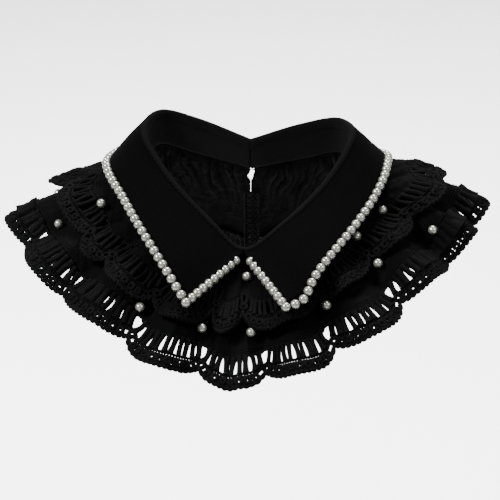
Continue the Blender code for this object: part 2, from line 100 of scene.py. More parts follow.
def add_lamps():
    for lamp in LAMPS:
        data = bpy.data.lights.new(lamp.name, "AREA")
        data.shape, data.size, data.energy = "DISK", lamp.size, lamp.power
        light = placed(lamp.name, data)
        light.location = lamp.place
        aim = CAMERA_TARGET - light.location
        light.rotation_euler = aim.to_track_quat("-Z", "Y").to_euler()
    world = bpy.data.worlds.new("studio")
    world.use_nodes = True
    sky = world.node_tree.nodes["Background"]
    sky.inputs["Color"].default_value = (1.0, 1.0, 1.0, 1)
    sky.inputs["Strength"].default_value = SKY_STRENGTH
    bpy.context.scene.world = world


add_lamps()
print(len(LAMPS), "lamps")

# %% [markdown]
# ## Node trees as sentences
#
# Node trees are easier to read as arithmetic. This small class wraps one socket of a tree, so that
# adding or multiplying two wires adds the Math node for it. Any other node comes from the one
# method, which takes the node's type, its settings and its sockets.

# %% A wire in a node tree
class Wire:
    """One output socket, or a plain start with no socket, in a material's or a geometry tree."""

    def __init__(self, tree, socket=None):
        self.tree = tree
        self.socket = socket

    def node(self, kind, settings=None, sockets=None, out=0):
        made = self.tree.nodes.new(kind)
        for key, value in (settings or {}).items():
            setattr(made, key, value)
        for key, value in (sockets or {}).items():
            if isinstance(value, Wire):
                self.tree.links.new(value.socket, made.inputs[key])
            else:
                made.inputs[key].default_value = value
        return Wire(self.tree, made.outputs[out])

    def also(self, out):
        """Another output of the same node."""
        return Wire(self.tree, self.socket.node.outputs[out])

    def maths(self, operation, *others):
        values = dict(enumerate((self, *others)))
        return self.node("ShaderNodeMath", {"operation": operation}, values)

    def __add__(self, other):
        return self.maths("ADD", other)

    def __mul__(self, other):
        return self.maths("MULTIPLY", other)

    def sine(self):
        return self.maths("SINE")


def new_finish(name, colour, roughness, **others):
    """A material, its Principled shader and a first wire to build on."""
    made = bpy.data.materials.new(name)
    made.use_nodes = True
    shader = made.node_tree.nodes["Principled BSDF"]
    for key, value in {"Base Color": (*colour, 1), "Roughness": roughness, **others}.items():
        shader.inputs[key].default_value = value
    return made, shader, Wire(made.node_tree)


def plug(wire, shader, socket):
    wire.tree.links.new(wire.socket, shader.inputs[socket])


def noise_of(start, coordinates, scale, detail=3.0):
    sockets = {"Vector": coordinates, "Scale": scale, "Detail": detail}
    return start.node("ShaderNodeTexNoise", sockets=sockets)


def object_noise(start, scale, detail=3.0):
    return noise_of(start, start.node("ShaderNodeTexCoord", out=3), scale, detail)


def carried(start, name):
    """A value that the mesh carries under a name."""
    return start.node("ShaderNodeAttribute", {"attribute_name": name}, out=2)


def bumped(start, height, strength):
    sockets = {"Height": height, "Strength": strength, "Distance": 1.0}
    return start.node("ShaderNodeBump", sockets=sockets)


def mixed(start, factor, dark, light):
    """A colour between two, by a factor."""
    sockets = {0: factor, 6: (*dark, 1), 7: (*light, 1)}
    return start.node("ShaderNodeMix", {"data_type": "RGBA"}, sockets, out=2)


# %% [markdown]
# ## Black cotton
#
# The stand and the collar leaves are smooth poplin: a plain weave of fine threads, black, with a soft
# sheen where the surface turns away, and a paler base colour along the top fold, which is a painted
# highlight. The stand takes its own copy of the poplin, painted lighter than the leaves' copy. The
# ruffles are a thinner cotton that is crinkled all over. Both weaves follow the cloth, so they read a
# UV map that is drawn in metres.

# %% Poplin and crinkled cotton
THREAD = 0.00034
CRINKLE = 0.0032
CRINKLE_PULL = (1.0, 0.35, 1.0)


WEAVE_DEPTH = 0.00006
GRAIN_DEPTH = 0.00008
CLOUD_SHARE = 0.6
ROUGHNESS_RANGE = 0.16
CLOTH_SHEEN = 0.004
SHEEN_ROUGHNESS = 0.4
# A painted highlight: how far the fold mask pulls the base colour to the paler tone along the roll.
FOLD_PAINTED_HIGHLIGHT = 0.9


def weave_height(start, uv):
    """Threads over and under: two waves that take turns."""
    along = start.node("ShaderNodeSeparateXYZ", sockets={"Vector": uv})
    turn = math.pi / THREAD
    return (along * turn).sine() * (along.also(1) * turn).sine()


def shine(sheen, gloss):
    return {"Sheen Weight": sheen, "Sheen Roughness": SHEEN_ROUGHNESS, "Specular IOR Level": gloss}


def cotton(name, dark, light, roughness, gloss, crinkle_depth):
    """Black cotton: its two tones, its gloss and the depth of its crinkle. Along the fold the paler
    tone is a painted highlight.
    """
    made, shader, start = new_finish(name, dark, roughness, **shine(CLOTH_SHEEN, gloss))
    uv = start.node("ShaderNodeUVMap", {"uv_map": "cloth"})
    cloudy = noise_of(start, uv, 55.0)
    fine = noise_of(start, uv, 900.0, 2.0)
    # Random tone over the cloth, plus a painted highlight where the mesh marks the fold.
    tone = (cloudy * CLOUD_SHARE + fine * (1 - CLOUD_SHARE)) * (1 - FOLD_PAINTED_HIGHLIGHT)
    tone = tone + carried(start, "fold") * FOLD_PAINTED_HIGHLIGHT
    plug(mixed(start, tone, dark, light), shader, "Base Color")
    plug(cloudy * ROUGHNESS_RANGE + (roughness - ROUGHNESS_RANGE / 2), shader, "Roughness")
    fall = start.node("ShaderNodeVectorMath", {"operation": "MULTIPLY"}, {0: uv, 1: CRINKLE_PULL})
    crinkle = noise_of(start, fall, 1 / CRINKLE, 4.0)
    height = weave_height(start, uv) * WEAVE_DEPTH + fine * GRAIN_DEPTH + crinkle * crinkle_depth
    plug(bumped(start, height, 0.9), shader, "Normal")
    return made


POPLIN_DARK, POPLIN_LIGHT = (0.0002, 0.0002, 0.00021), (0.0015, 0.0015, 0.0016)
# The stand's copy of the poplin has a lighter base colour and more gloss than the leaves' copy: painted
# sheen on the inside of the stand, which lies in shade.
STAND_DARK, STAND_LIGHT = (0.0006, 0.0006, 0.00063), (0.003, 0.003, 0.0032)
COTTON_DARK, COTTON_LIGHT = (0.0005, 0.0005, 0.00053), (0.0018, 0.0018, 0.0019)
POPLIN = cotton("smooth_poplin", POPLIN_DARK, POPLIN_LIGHT, 0.75, 0.005, 0.00015)
STAND_POPLIN_PAINTED_LIGHTER = cotton("poplin_painted_lighter", STAND_DARK, STAND_LIGHT, 0.72, 0.016, 0.00015)
COTTON = cotton("crinkled_cotton", COTTON_DARK, COTTON_LIGHT, 0.8, 0.011, 0.0012)
print("cottons", POPLIN.name, STAND_POPLIN_PAINTED_LIGHTER.name, COTTON.name)

# %% [markdown]
# ## Yarn, pearl, button and floor
#
# The lace is worked in twisted black yarn. The twist is a stripe that climbs round each strand, so
# it reads how far along and how far round a point is, which the strands carry as attributes. The
# pearls are lacquered beads: an ivory body under a clear coat. Their base colour is painted darker and
# a little warmer towards the rim, a painted shade and painted reflection of the dark cloth round them.

# %% Yarn
TWIST = 0.0011
TWIST_DEPTH = 0.00018
FUZZ_DEPTH = 0.00022
NEAR_BLACK = (0.012, 0.012, 0.013)
YARN_DARK, YARN_LIGHT = (0.0005, 0.0005, 0.00053), (0.0013, 0.0013, 0.00138)


def yarn():
    made, shader, start = new_finish("black_yarn", NEAR_BLACK, 0.7, **shine(0.0015, 0.014))
    fuzz = object_noise(start, 2600.0, 2.0)
    turns = carried(start, "along") * (2 * math.pi / TWIST) + carried(start, "around") * (2 * math.pi)
    plug(mixed(start, fuzz, YARN_DARK, YARN_LIGHT), shader, "Base Color")
    plug(bumped(start, turns.sine() * TWIST_DEPTH + fuzz * FUZZ_DEPTH, 1.0), shader, "Normal")
    return made


YARN = yarn()

# %% Pearl, button and floor
# Painted shade: the rim colour is darker than the face, for the dark cloth that the rims face.
PEARL_RIM_PAINTED_SHADE = (0.06, 0.06, 0.048)
PEARL_FACE = (0.125, 0.125, 0.108)


PEARL_COAT = {"Metallic": 0.6, "Coat Weight": 0.7, "Coat Roughness": 0.1}


def pearl():
    made, shader, start = new_finish("ivory_pearl", PEARL_FACE, 0.22, **PEARL_COAT)
    rim_shade_mask = start.node("ShaderNodeLayerWeight", sockets={"Blend": 0.4}, out=1)
    cloud = object_noise(start, 260.0)
    # Painted shade at the rim: the base colour darkens by the facing ratio, with a little random cloud.
    plug(mixed(start, rim_shade_mask * 0.8 + cloud * 0.2, PEARL_FACE, PEARL_RIM_PAINTED_SHADE), shader, "Base Color")
    plug(cloud * 0.1 + 0.18, shader, "Roughness")
    return made


def button_black():
    made, shader, start = new_finish("polished_button", NEAR_BLACK, 0.22)
    wear = object_noise(start, 700.0)
    plug(wear * 0.16 + 0.16, shader, "Roughness")
    plug(bumped(start, wear * 0.00004, 0.6), shader, "Normal")
    return made


def floor_white():
    made, shader, start = new_finish("pale_floor", (0.9, 0.9, 0.9), 0.9, **{"Specular IOR Level": 0.0})
    cloud = object_noise(start, 2.0)
    plug(mixed(start, cloud, (0.88, 0.88, 0.88), (0.91, 0.91, 0.91)), shader, "Base Color")
    return made


PEARL, BUTTON, FLOOR = pearl(), button_black(), floor_white()


def mesh_of(name, points, faces=()):
    mesh = bpy.data.meshes.new(name)
    mesh.from_pydata(points, [], faces)
    return mesh


def add_floor():
    low = CAMERA_TARGET.z - FLOOR_DROP
    half = FLOOR_SIZE / 2
    corners = [(-half, -half, low), (half, -half, low), (half, half, low), (-half, half, low)]
    mesh = mesh_of("floor", corners, [(0, 1, 2, 3)])
    mesh.materials.append(FLOOR)
    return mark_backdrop(placed("floor", mesh))


add_floor()
print("finishes", [m.name for m in (YARN, PEARL, BUTTON, FLOOR)])

# %% [markdown]
# ## The shape of the collar
#
# One table describes the neck: a row for each 30 degrees from the centre front to the centre back.
# It gives the top fold, the height of the stand, the line of pearls, the direction and steepness in
# which the ruffles fall, and how deep they are. A smooth curve joins the rows, so every piece below
# asks the same functions and all of them fit together.

# %% The neck table
Station = namedtuple(
    "Station",
    "roll_x roll_y roll_z stand fan leaf_x leaf_y leaf_z slope_in slope_out lower upper_left "
    "upper_right",
)
STATION_STEP = 30
STATIONS = [
    Station(0.0, -48, -36, 14, 0, 29.3, -102, -48.5, 18, 34, 89, 55, 55),
    Station(19.5, -38, -25, 17, 25, 44.3, -85, -34.0, 13, 31, 92, 67, 60),
    Station(47.5, -16, -4, 23, 54, 70, -46, -15.5, 6, 25, 95, 64, 57),
    Station(65.0, 10, 16, 25, 90, 88, -5, -2.0, 5, 35, 96, 63, 62),
    Station(57.5, 34, 20.8, 24, 120, 85, 32, -4.5, 38, 54, 95, 62, 62),
    Station(32.5, 37, 14.6, 25, 151, 53, 58, -11.0, 56, 66, 94, 60, 60),
    Station(0.0, 30, 4.8, 21, 180, 4, 53, -22.0, 62, 70, 94, 60, 60),
]
ODD_COLUMNS = ("roll_x", "fan")
LEAN_START = -33
LEAN = 0.09
BACK_SHIFT = 2.5
BACK_SHIFT_END = 30
NECK_TILT = -0.05
RUFFLE_TILT = 0.026
TILT_CHANGE_START = 60
TILT_CHANGE_WIDTH = 50
STAND_LEAN = 3.0
NORMAL_STEP = 2.0


def cubic(before, first, second, after, share):
    """A Catmull-Rom curve from first to second."""
    turn = share * (3 * (first - second) + after - before)
    bend = share * (2 * before - 5 * first + 4 * second - after + turn)
    return first + 0.5 * share * (second - before + bend)


def between_stations(column, index, share):
    values = [getattr(row, column) for row in STATIONS]
    mirror = -1 if column in ODD_COLUMNS else 1
    before = values[index - 1] if index else mirror * values[1]
    if column.startswith("leaf") and not index:
        before = 2 * values[0] - values[1]
    after = values[index + 2] if index + 2 < len(values) else 2 * values[-1] - values[-2]
    return cubic(before, values[index], values[index + 1], after, share)


@lru_cache(maxsize=None)
def station(turn):
    """Every column of the neck table at an angle from 0 to 180."""
    place = min(max(turn / STATION_STEP, 0), len(STATIONS) - 1)
    index = min(int(place), len(STATIONS) - 2)
    return Station(*[between_stations(column, index, place - index) for column in Station._fields])


def smoothstep(value):
    value = min(max(value, 0), 1)
    return value * value * (3 - 2 * value)


def side_of(angle):
    return -1 if angle < 0 else 1


def leaned(point):
    """A point of the even collar, moved by the lean, the shift and the tilts, in metres."""
    change = smoothstep((abs(point.x) - TILT_CHANGE_START) / TILT_CHANGE_WIDTH)
    tilt = NECK_TILT + (RUFFLE_TILT - NECK_TILT) * change
    across = BACK_SHIFT * smoothstep(point.y / BACK_SHIFT_END) - LEAN * max(LEAN_START - point.y, 0)
    return Vector((point.x + across, point.y, point.z + tilt * point.x)) * MM


def roll_point(angle):
    """The top fold, before the lean."""
    row = station(abs(angle))
    return Vector((side_of(angle) * row.roll_x, row.roll_y, row.roll_z))


def fan_direction(angle):
    fan = math.radians(station(abs(angle)).fan)
    return Vector((side_of(angle) * math.sin(fan), -math.cos(fan), 0))


def seam_point(angle):
    """The neck seam, at the foot of the stand."""
    foot = Vector((0, 0, station(abs(angle)).stand))
    return roll_point(angle) + fan_direction(angle) * STAND_LEAN - foot


# %% [markdown]
# ## How the ruffles hang
#
# Each ruffle leaves the neck seam in its own direction and bends down as it goes. The point at an
# angle and a distance along the cloth is found by rolling that bend out, and the normal is the cross
# product of two short steps.

# %% The hanging surface
@lru_cache(maxsize=None)
def hang(angle):
    """Where a line of cloth starts, which way it goes, how steeply and how it bends."""
    row = station(abs(angle))
    slope = math.radians(row.slope_in)
    bend = (math.radians(row.slope_out) - slope) / row.lower
    return seam_point(angle), fan_direction(angle), slope, bend


def drape_point(angle, distance):
    start, out, slope_in, bend = hang(angle)
    slope = slope_in + bend * distance
    reach = (math.sin(slope) - math.sin(slope_in)) / bend
    drop = (math.cos(slope_in) - math.cos(slope)) / bend
    return start + out * reach - Vector((0, 0, drop))


@lru_cache(maxsize=None)
def drape_normal(angle, distance):
    low, high = max(angle - NORMAL_STEP, -180), min(angle + NORMAL_STEP, 180)
    across = drape_point(high, distance) - drape_point(low, distance)
    along = drape_point(angle, distance + NORMAL_STEP) - drape_point(angle, distance - NORMAL_STEP)
    return along.cross(across).normalized()


print("hem at the front", drape_point(0, 89))

# %% [markdown]
# ## Scallops and waves
#
# The hem of each ruffle is a row of scallops. Each scallop stands proud in its middle and the cloth
# dips at the cusps between them. The tables list every scallop from the centre back round the left,
# the front and the right, because the photograph shows that no two are quite alike.

# %% Scallop tables
Scallop = namedtuple("Scallop", "start tuck notch lift reach skew", defaults=[0.0])
LOWER_SCALLOPS = [Scallop(*row) for row in (
    (-180, 2, 0, 5, 1.0), (-160, 3, 0, 6, 1.0), (-139, 3, 0, 6, 1.0), (-118, 3, 0, 7, 1.0),
    (-96, 3, 0, 5, 0.6, -0.4), (-75.5, 3, 0, 5, 0.45), (-56, 4, 0, 3, 0.62, 0.3),
    (-35, 4, -2.2, 6, 1.28, -0.5), (-12, 4, 0, 4, 1.05, 0.1), (11, 4, 0, 6, 1.2, 0.45),
    (33, 4, 0.8, 6, 1.15, 0.5), (50.5, 4, 0, 5, 0.55),
    (67, 8, 0, 5, 0.35), (81, 7, 0, 5, 0.65), (98, 3, 0, 5, 1.0), (118, 3, 0, 6, 1.0),
    (139, 3, 0, 5, 1.0), (160, 3, 0, 5, 1.0),
)]
UPPER_SCALLOPS = [Scallop(*row) for row in (
    (-180, 1, 0, 4, 1.0), (-156, 1, 0, 5, 1.0), (-133, 1, 0, 4, 1.0), (-110, 1, 0, 7, 1.5, -0.5),
    (-88.5, 1, 9, 6, 0.35), (-64.5, 1, 0, 3, 0.8), (-53, 1, 0, 5, 1.0), (-34.5, 1, 0, 5, 1.0),
    (-13, 1, 8, 3, 1.1), (2, 0, 6, 5, 1.2), (34, 1, 0, 5, 1.0), (53, 1, 0, 4, 1.0),
    (70, 1, 0, 5, 1.0), (90.5, 1, 0, 5, 1.0), (112, 1, 0, 5, 1.0), (134, 1, 0, 4, 1.0),
    (157, 1, 0, 4, 1.0),
)]
HEM_END = 180
SCALLOP_DEPTH = 10.5
SCALLOP_ROUNDNESS = 0.85


def scallop_place(angle, row):
    """The scallop at an angle, the row of its nearer cusp, and how far through it, from 0 to 1."""
    index = max(k for k, s in enumerate(row) if s.start <= angle or k == 0)
    following = row[index + 1] if index + 1 < len(row) else row[0]._replace(start=HEM_END)
    scallop = row[index]
    share = (angle - scallop.start) / (following.start - scallop.start)
    return scallop, scallop if share < 0.5 else following, share


def scallop_arc(share, skew):
    """The rounded outline of one scallop: 0 at its cusps and 1 at its fullest. Skew moves the
    fullest place towards the next cusp."""
    offset = 2 * (share - skew * share * (1 - share)) - 1
    low = math.sqrt(1 - SCALLOP_ROUNDNESS)
    return (math.sqrt(max(1 - SCALLOP_ROUNDNESS * offset * offset, 0)) - low) / (1 - low)


def wave_height(angle, share_of_depth, row):
    scallop, cusp, share = scallop_place(angle, row)
    wave = 0.5 - 0.5 * math.cos(2 * math.pi * share)
    return (scallop.lift * wave - cusp.tuck * (1 - wave)) * smoothstep(share_of_depth)


print(len(LOWER_SCALLOPS), "lower scallops,", len(UPPER_SCALLOPS), "upper scallops")

# %% [markdown]
# ## Gathers, creases and crinkle
#
# Three things shape the cloth between the neck and the lace. Gathers start as tight waves at the
# neck seam and open out. Creases are listed, one row each: where it starts and ends, how
# wide it is and how high, with troughs below zero. The cotton itself is crinkled, which is a fine
# noise that is stretched along the fall of the cloth.

# %% Gathers
GATHERS_PER_SCALLOP = 2
GATHER_HEIGHT = 1.4
GATHER_RISE = 9.0
GATHER_REACH = 46.0
FOLD_SPACING = 5.3
FOLD_HEIGHT = 0.9
BACK_FOLD_HEIGHT = 4.3
FOLD_REACH = 56.0
FOLD_RISE = 5.0
FOLD_PULL = 0.62
FOLD_FAR = 60.0
FOLD_DRIFT = 0.75
BACK_FOLDS_START = 95
BACK_FOLDS_WIDTH = 40
EDGE_CALM = 9.0
FOLD_SIZES = (0.7, 0.8)
FOLD_LENGTHS = (0.9, 0.6)
FOLD_ROUNDNESS = 0.7


def gather_height(angle, distance, row):
    """The broad gathers of the solid, with the tight folds between them."""
    share = scallop_place(angle, row)[2]
    wave = 0.5 + 0.5 * math.cos(2 * math.pi * GATHERS_PER_SCALLOP * share)
    fade = smoothstep(distance / GATHER_RISE) * (1 - smoothstep(distance / GATHER_REACH))
    return GATHER_HEIGHT * wave * fade + fold_height(angle, distance)


def fold_height(angle, distance):
    """Tight rounded folds with narrow valleys, each of its own size and length. At the back they
    are deeper and draw in towards the centre."""
    back = smoothstep((abs(angle) - BACK_FOLDS_START) / BACK_FOLDS_WIDTH)
    near = 180 - abs(angle)
    pull = 1 + back * (1 / (1 - FOLD_PULL * min(distance, FOLD_FAR) / FOLD_FAR) - 1)
    drift = FOLD_DRIFT * noise.noise(Vector((angle * 0.08, distance * 0.05, 8)))
    phase = side_of(angle) * near * pull / FOLD_SPACING + drift
    fold = round(phase)
    own = FOLD_SIZES[0] + FOLD_SIZES[1] * noise.noise(Vector((fold * 3.7 + 0.5, 0.3, 2.5)))
    length = FOLD_LENGTHS[0] + FOLD_LENGTHS[1] * noise.noise(Vector((fold * 2.3 + 0.5, 0.9, 4.5)))
    fade = smoothstep(distance / FOLD_RISE) * (1 - smoothstep(distance / (FOLD_REACH * length)))
    height = FOLD_HEIGHT + (BACK_FOLD_HEIGHT - FOLD_HEIGHT) * back
    round_fold = abs(math.cos(math.pi * phase)) ** FOLD_ROUNDNESS
    return height * own * round_fold * fade * smoothstep(near / EDGE_CALM)


# %% Creases, listed one by one
Crease = namedtuple("Crease", "angle distance to_angle to_distance width height")
LOWER_CREASES = [Crease(*row) for row in (
    (-2, 22, -1, 112, 8.0, -4.2), (-7, 26, -12, 70, 2.8, 1.2), (7, 30, 11, 74, 3.2, -1.5),
    (4, 40, 5, 72, 2.6, 1.0), (30, 44, 33, 72, 3.0, -1.3), (48, 40, 51, 74, 2.6, -1.2),
    (58, 52, 62, 76, 2.4, 0.8), (66, 36, 68, 78, 2.8, -1.6), (73, 44, 76, 80, 2.4, 0.8),
    (82, 40, 80, 80, 2.6, -1.3), (-34, 44, -35, 74, 3.0, -1.4), (-22, 50, -24, 72, 2.6, 0.7),
    (-55, 44, -57, 76, 3.2, -1.5), (-66, 46, -63, 72, 2.4, 0.8), (-75, 40, -76, 76, 2.8, -1.3),
    (-86, 46, -84, 74, 2.4, 0.7), (-96, 30, -97, 76, 2.8, -1.2), (-118, 14, -117, 70, 2.6, -1.3),
    (-128, 12, -124, 52, 2.2, -1.1), (-139, 10, -140, 66, 2.8, -1.4), (-148, 12, -144, 48, 2.2, 0.9),
    (-154, 10, -152, 58, 2.2, -1.3), (-163, 9, -160, 62, 2.6, -1.4), (-170, 10, -164, 50, 2.0, 0.9),
    (-175, 12, -170, 64, 2.2, -1.2), (98, 30, 97, 76, 2.8, -1.2), (109, 24, 107, 60, 2.4, 0.8),
    (118, 14, 116, 70, 2.6, -1.3), (127, 11, 125, 50, 2.2, -1.1), (139, 10, 138, 66, 2.8, -1.4),
    (147, 12, 144, 46, 2.2, 0.9), (153, 10, 151, 60, 2.2, -1.3), (162, 9, 160, 62, 2.6, -1.4),
    (169, 11, 165, 48, 2.0, 0.9), (175, 12, 171, 62, 2.2, -1.2),
)]
UPPER_CREASES = [Crease(*row) for row in (
    (0, 8, 1, 50, 2.4, -1.4), (-8, 14, -11, 46, 2.2, -1.0), (8, 12, 14, 34, 2.0, 0.7),
    (-60, 20, -66, 46, 2.6, -1.3), (-70, 16, -78, 44, 2.4, 0.9), (-76, 14, -86, 42, 2.4, -1.2),
    (-84, 14, -94, 40, 2.2, 0.8), (-92, 14, -100, 44, 2.6, -1.2), (-52, 26, -54, 46, 2.2, -1.0),
    (-34, 30, -35, 48, 2.4, -1.1), (54, 20, 60, 42, 2.4, -1.1), (64, 14, 74, 40, 2.6, -1.4),
    (72, 14, 82, 38, 2.2, 0.9), (78, 14, 92, 42, 2.8, -1.5), (88, 12, 100, 40, 2.4, 0.9),
    (96, 12, 106, 44, 2.4, -1.1), (112, 10, 113, 44, 2.4, -1.2), (124, 12, 122, 40, 2.2, 0.8),
    (134, 10, 134, 46, 2.4, -1.2), (146, 12, 147, 40, 2.2, 0.8), (157, 10, 156, 44, 2.4, -1.2),
    (170, 10, 172, 42, 2.2, -1.0), (-110, 10, -111, 44, 2.4, -1.2), (-121, 12, -119, 40, 2.2, 0.8),
    (-133, 10, -133, 46, 2.4, -1.2), (-146, 12, -148, 40, 2.2, 0.8), (-156, 10, -156, 44, 2.4, -1.2),
    (-170, 10, -171, 42, 2.2, -1.0),
)]
SEAM_SCALE = 1.0
FLARE_SCALE = 0.017
CREASE_LOOK = 3.0
CREASE_DEPTH = 1.35
CREASE_ENDS = 0.35
CRINKLE_HEIGHT = 0.6


def crease_height(angle, distance, creases):
    """Soft troughs and ridges: each is deepest in its middle and fades out at its ends."""
    total = 0.0
    scale = SEAM_SCALE + FLARE_SCALE * distance
    for crease in creases:
        x = (angle - crease.angle) * scale
        y = distance - crease.distance
        to_x = (crease.to_angle - crease.angle) * scale
        to_y = crease.to_distance - crease.distance
        share = min(max((x * to_x + y * to_y) / (to_x * to_x + to_y * to_y), 0), 1)
        away = math.hypot(x - share * to_x, y - share * to_y)
        if away < CREASE_LOOK * crease.width:
            middle = CREASE_ENDS + (1 - CREASE_ENDS) * math.sin(math.pi * share)
            total += crease.height * middle * math.exp(-(away / crease.width) ** 2)
    return total * CREASE_DEPTH


def crinkle_height(angle, distance, seed):
    scale = SEAM_SCALE + FLARE_SCALE * distance
    broad = noise.noise(Vector((angle * scale * 0.24, distance * 0.05, seed)))
    small = noise.noise(Vector((angle * scale * 0.7, distance * 0.13, seed + 5)))
    return CRINKLE_HEIGHT * (broad + 0.5 * small) * smoothstep(distance / GATHER_RISE)


print(len(LOWER_CREASES) + len(UPPER_CREASES), "creases")

# %% [markdown]
# ## Two ruffles, one over the other
#
# The lower ruffle lies on the shoulders. The upper one rides on the lower one's waves and adds its
# own, so it can never sink through. Both open in a keyhole under the back of the stand.

# %% Heights and points of the ruffles
RUFFLE_THICKNESS = 1.2
SEAM_GAP = 0.3
FACET_ALLOWANCE = 0.45
UPPER_CLEARANCE = 2.8
BACK_START = 168
KEYHOLE_HALF_WIDTH = 2.8
KEYHOLE_LENGTH = 17.2
KEYHOLE_SLANT = 2.2


def lower_depth(angle):
    return station(abs(angle)).lower


def upper_depth(angle):
    row = station(abs(angle))
    return row.upper_left if angle < 0 else row.upper_right


def lower_height(angle, distance):
    wave = wave_height(angle, distance / lower_depth(angle), LOWER_SCALLOPS)
    folds = crease_height(angle, distance, LOWER_CREASES) + crinkle_height(angle, distance, 0)
    return wave + folds - gather_height(angle, distance, LOWER_SCALLOPS)


def upper_height(angle, distance):
    under = wave_height(angle, distance / lower_depth(angle), LOWER_SCALLOPS)
    own = wave_height(angle, distance / upper_depth(angle), UPPER_SCALLOPS)
    rise = UPPER_CLEARANCE * smoothstep(distance / GATHER_RISE)
    folds = crease_height(angle, distance, UPPER_CREASES) + crinkle_height(angle, distance, 40)
    gathers = gather_height(angle, distance, UPPER_SCALLOPS)
    base = RUFFLE_THICKNESS + SEAM_GAP + rise
    return base + max(under, 0) + max(own, 0) + folds * smoothstep(distance / GATHER_RISE) - gathers


def back_gap(distance):
    """Half the opening at the centre back: a keyhole under the stand, then edge to edge."""
    return KEYHOLE_HALF_WIDTH * math.sin(math.pi * min(max(distance / KEYHOLE_LENGTH, 0), 1))


def back_slant(distance):
    """How far the keyhole leans to one side: over at its top and back at its foot."""
    share = min(max(distance / KEYHOLE_LENGTH, 0), 1)
    return KEYHOLE_SLANT * math.cos(math.pi * share) * math.sin(math.pi * min(share * 1.2, 1))


def ruffle_point(angle, distance, height, lift=0.0):
    """A point of a ruffle, raised by lift millimetres from its outer face, in metres."""
    point = drape_point(angle, distance)
    point = point + drape_normal(angle, distance) * (height(angle, distance) + lift)
    if abs(angle) > BACK_START:
        share = smoothstep((abs(angle) - BACK_START) / (HEM_END - BACK_START))
        point.x = side_of(angle) * max(abs(point.x), back_gap(distance) * share)
        point.x += back_slant(distance) * share
    return leaned(point)


# %% [markdown]
# ## The plan of the lace
#
# Each scallop ends in lace, worked outwards from the cloth: a corded edge, a ladder of bars, two
# cords with tiny posts between them, a row of rings and a wavy rim. A plan point is given by how far
# across the scallop it is, from -1 to 1, and how deep inside the hem. The plan narrows a little
# away from the hem, which makes the bars fan out and leaves a wedge open at each cusp.

# %% Lace plan
Tier = namedtuple("Tier", "name scallops depth height neck_start columns rows")
LOWER = Tier("lower", LOWER_SCALLOPS, lower_depth, lower_height, -1.0, 40, 50)
UPPER = Tier("upper", UPPER_SCALLOPS, upper_depth, upper_height, 0.5, 28, 34)
LACE_FAN = 0.0085
CUSP_CLOSENESS = 0.26
RIM_DEPTH = 1.0
OUTER_CORD = 2.7
RING_ROW = 4.9
MIDDLE_CORD = 7.4
INNER_CORD = 9.6
LADDER_MIDDLE = 15.0
LADDER_TOP = 21.0


def hem_distance(tier, angle, place):
    scallop, cusp, share = place
    arc = scallop_arc(share, scallop.skew)
    return tier.depth(angle) - SCALLOP_DEPTH * (1 - scallop.reach * arc) - cusp.notch * (1 - arc)


def closeness(across):
    """How much the plan draws together towards the cusps."""
    return 1 - CUSP_CLOSENESS * abs(across) ** 3


def hem_angle(tier, number, share):
    """The angle at a share of one scallop."""
    start = tier.scallops[number].start
    end = tier.scallops[number + 1].start if number + 1 < len(tier.scallops) else HEM_END
    return start + (end - start) * share


def along_hem(counts):
    """Steps along the whole hem, counts[n] of them in scallop n: its number and how much is done."""
    for number, steps in enumerate(counts):
        for step in range(steps):
            yield number, step / steps
    yield number, 1.0


def plan_place(tier, number, across, deep):
    """The angle and distance of a plan point of one scallop."""
    start, end = hem_angle(tier, number, 0), hem_angle(tier, number, 1)
    middle, half = (start + end) / 2, (end - start) / 2
    cusp = tier.scallops[(number + (across > 0)) % len(tier.scallops)]
    place = tier.scallops[number], cusp, (across + 1) / 2
    distance = hem_distance(tier, middle + half * across, place) - deep * closeness(across)
    return middle + half * across * (1 - LACE_FAN * deep), distance


def cloth_edge(tier, angle):
    """Where the cloth of a ruffle ends and its ladder starts."""
    place = scallop_place(angle, tier.scallops)
    return hem_distance(tier, angle, place) - LADDER_TOP * closeness(2 * place[2] - 1)


def strip_length(points):
    return sum((b - a).length for a, b in zip(points, points[1:]))


def scallop_width(tier, number, deep=0.0):
    """How wide a scallop is at one depth of the plan, in millimetres."""
    places = [plan_place(tier, number, across / 6, deep) for across in range(-6, 7)]
    return strip_length([ruffle_point(*place, tier.height) for place in places]) / MM


for tier in (LOWER, UPPER):
    widths = [scallop_width(tier, number) for number in range(len(tier.scallops))]
    print(tier.name, "scallop widths in mm", [round(w) for w in widths])

# %% [markdown]
# ## The cloth of the ruffles
#
# Each ruffle is one sheet: fine rows of points from the neck seam to the edge of the ladder, with
# the waves, gathers and creases in them. The sheet is then given a thin wall. Its UV map is the
# strip that it was cut from, in metres, so the weave is squeezed where the cloth is gathered.

# %% Sheets from rows of points
SHELL = 0.5


def sheet_object(name, rows, flat_rows, finish, wall, flip=False):
    """A grid of points as a sheet with a thin wall. flat_rows holds the same points on the flat cut."""
    columns = len(rows[0])
    points = [point for row in rows for point in row]
    faces = []
    for r in range(len(rows) - 1):
        for c in range(columns - 1):
            a = r * columns + c
            face = (a, a + columns, a + columns + 1, a + 1)
            faces.append(face[::-1] if flip else face)
    mesh = mesh_of(name, points, faces)
    flat = [place for row in flat_rows for place in row]
    layer = mesh.uv_layers.new(name="cloth")
    for loop in mesh.loops:
        layer.data[loop.index].uv = flat[loop.vertex_index]
    mesh.materials.append(finish)
    mesh.shade_smooth()
    made = placed(name, mesh)
    shell = made.modifiers.new("wall", "SOLIDIFY")
    shell.thickness = wall * MM
    shell.offset = -1
    shell.use_even_offset = False
    return made


def neck_edge(tier, angle):
    if tier.neck_start > 0:
        return ruffle_point(angle, tier.neck_start, tier.height)
    tucked = seam_point(angle) + fan_direction(angle) * tier.neck_start
    tucked.z -= SEAM_GAP + FACET_ALLOWANCE
    return leaned(tucked)


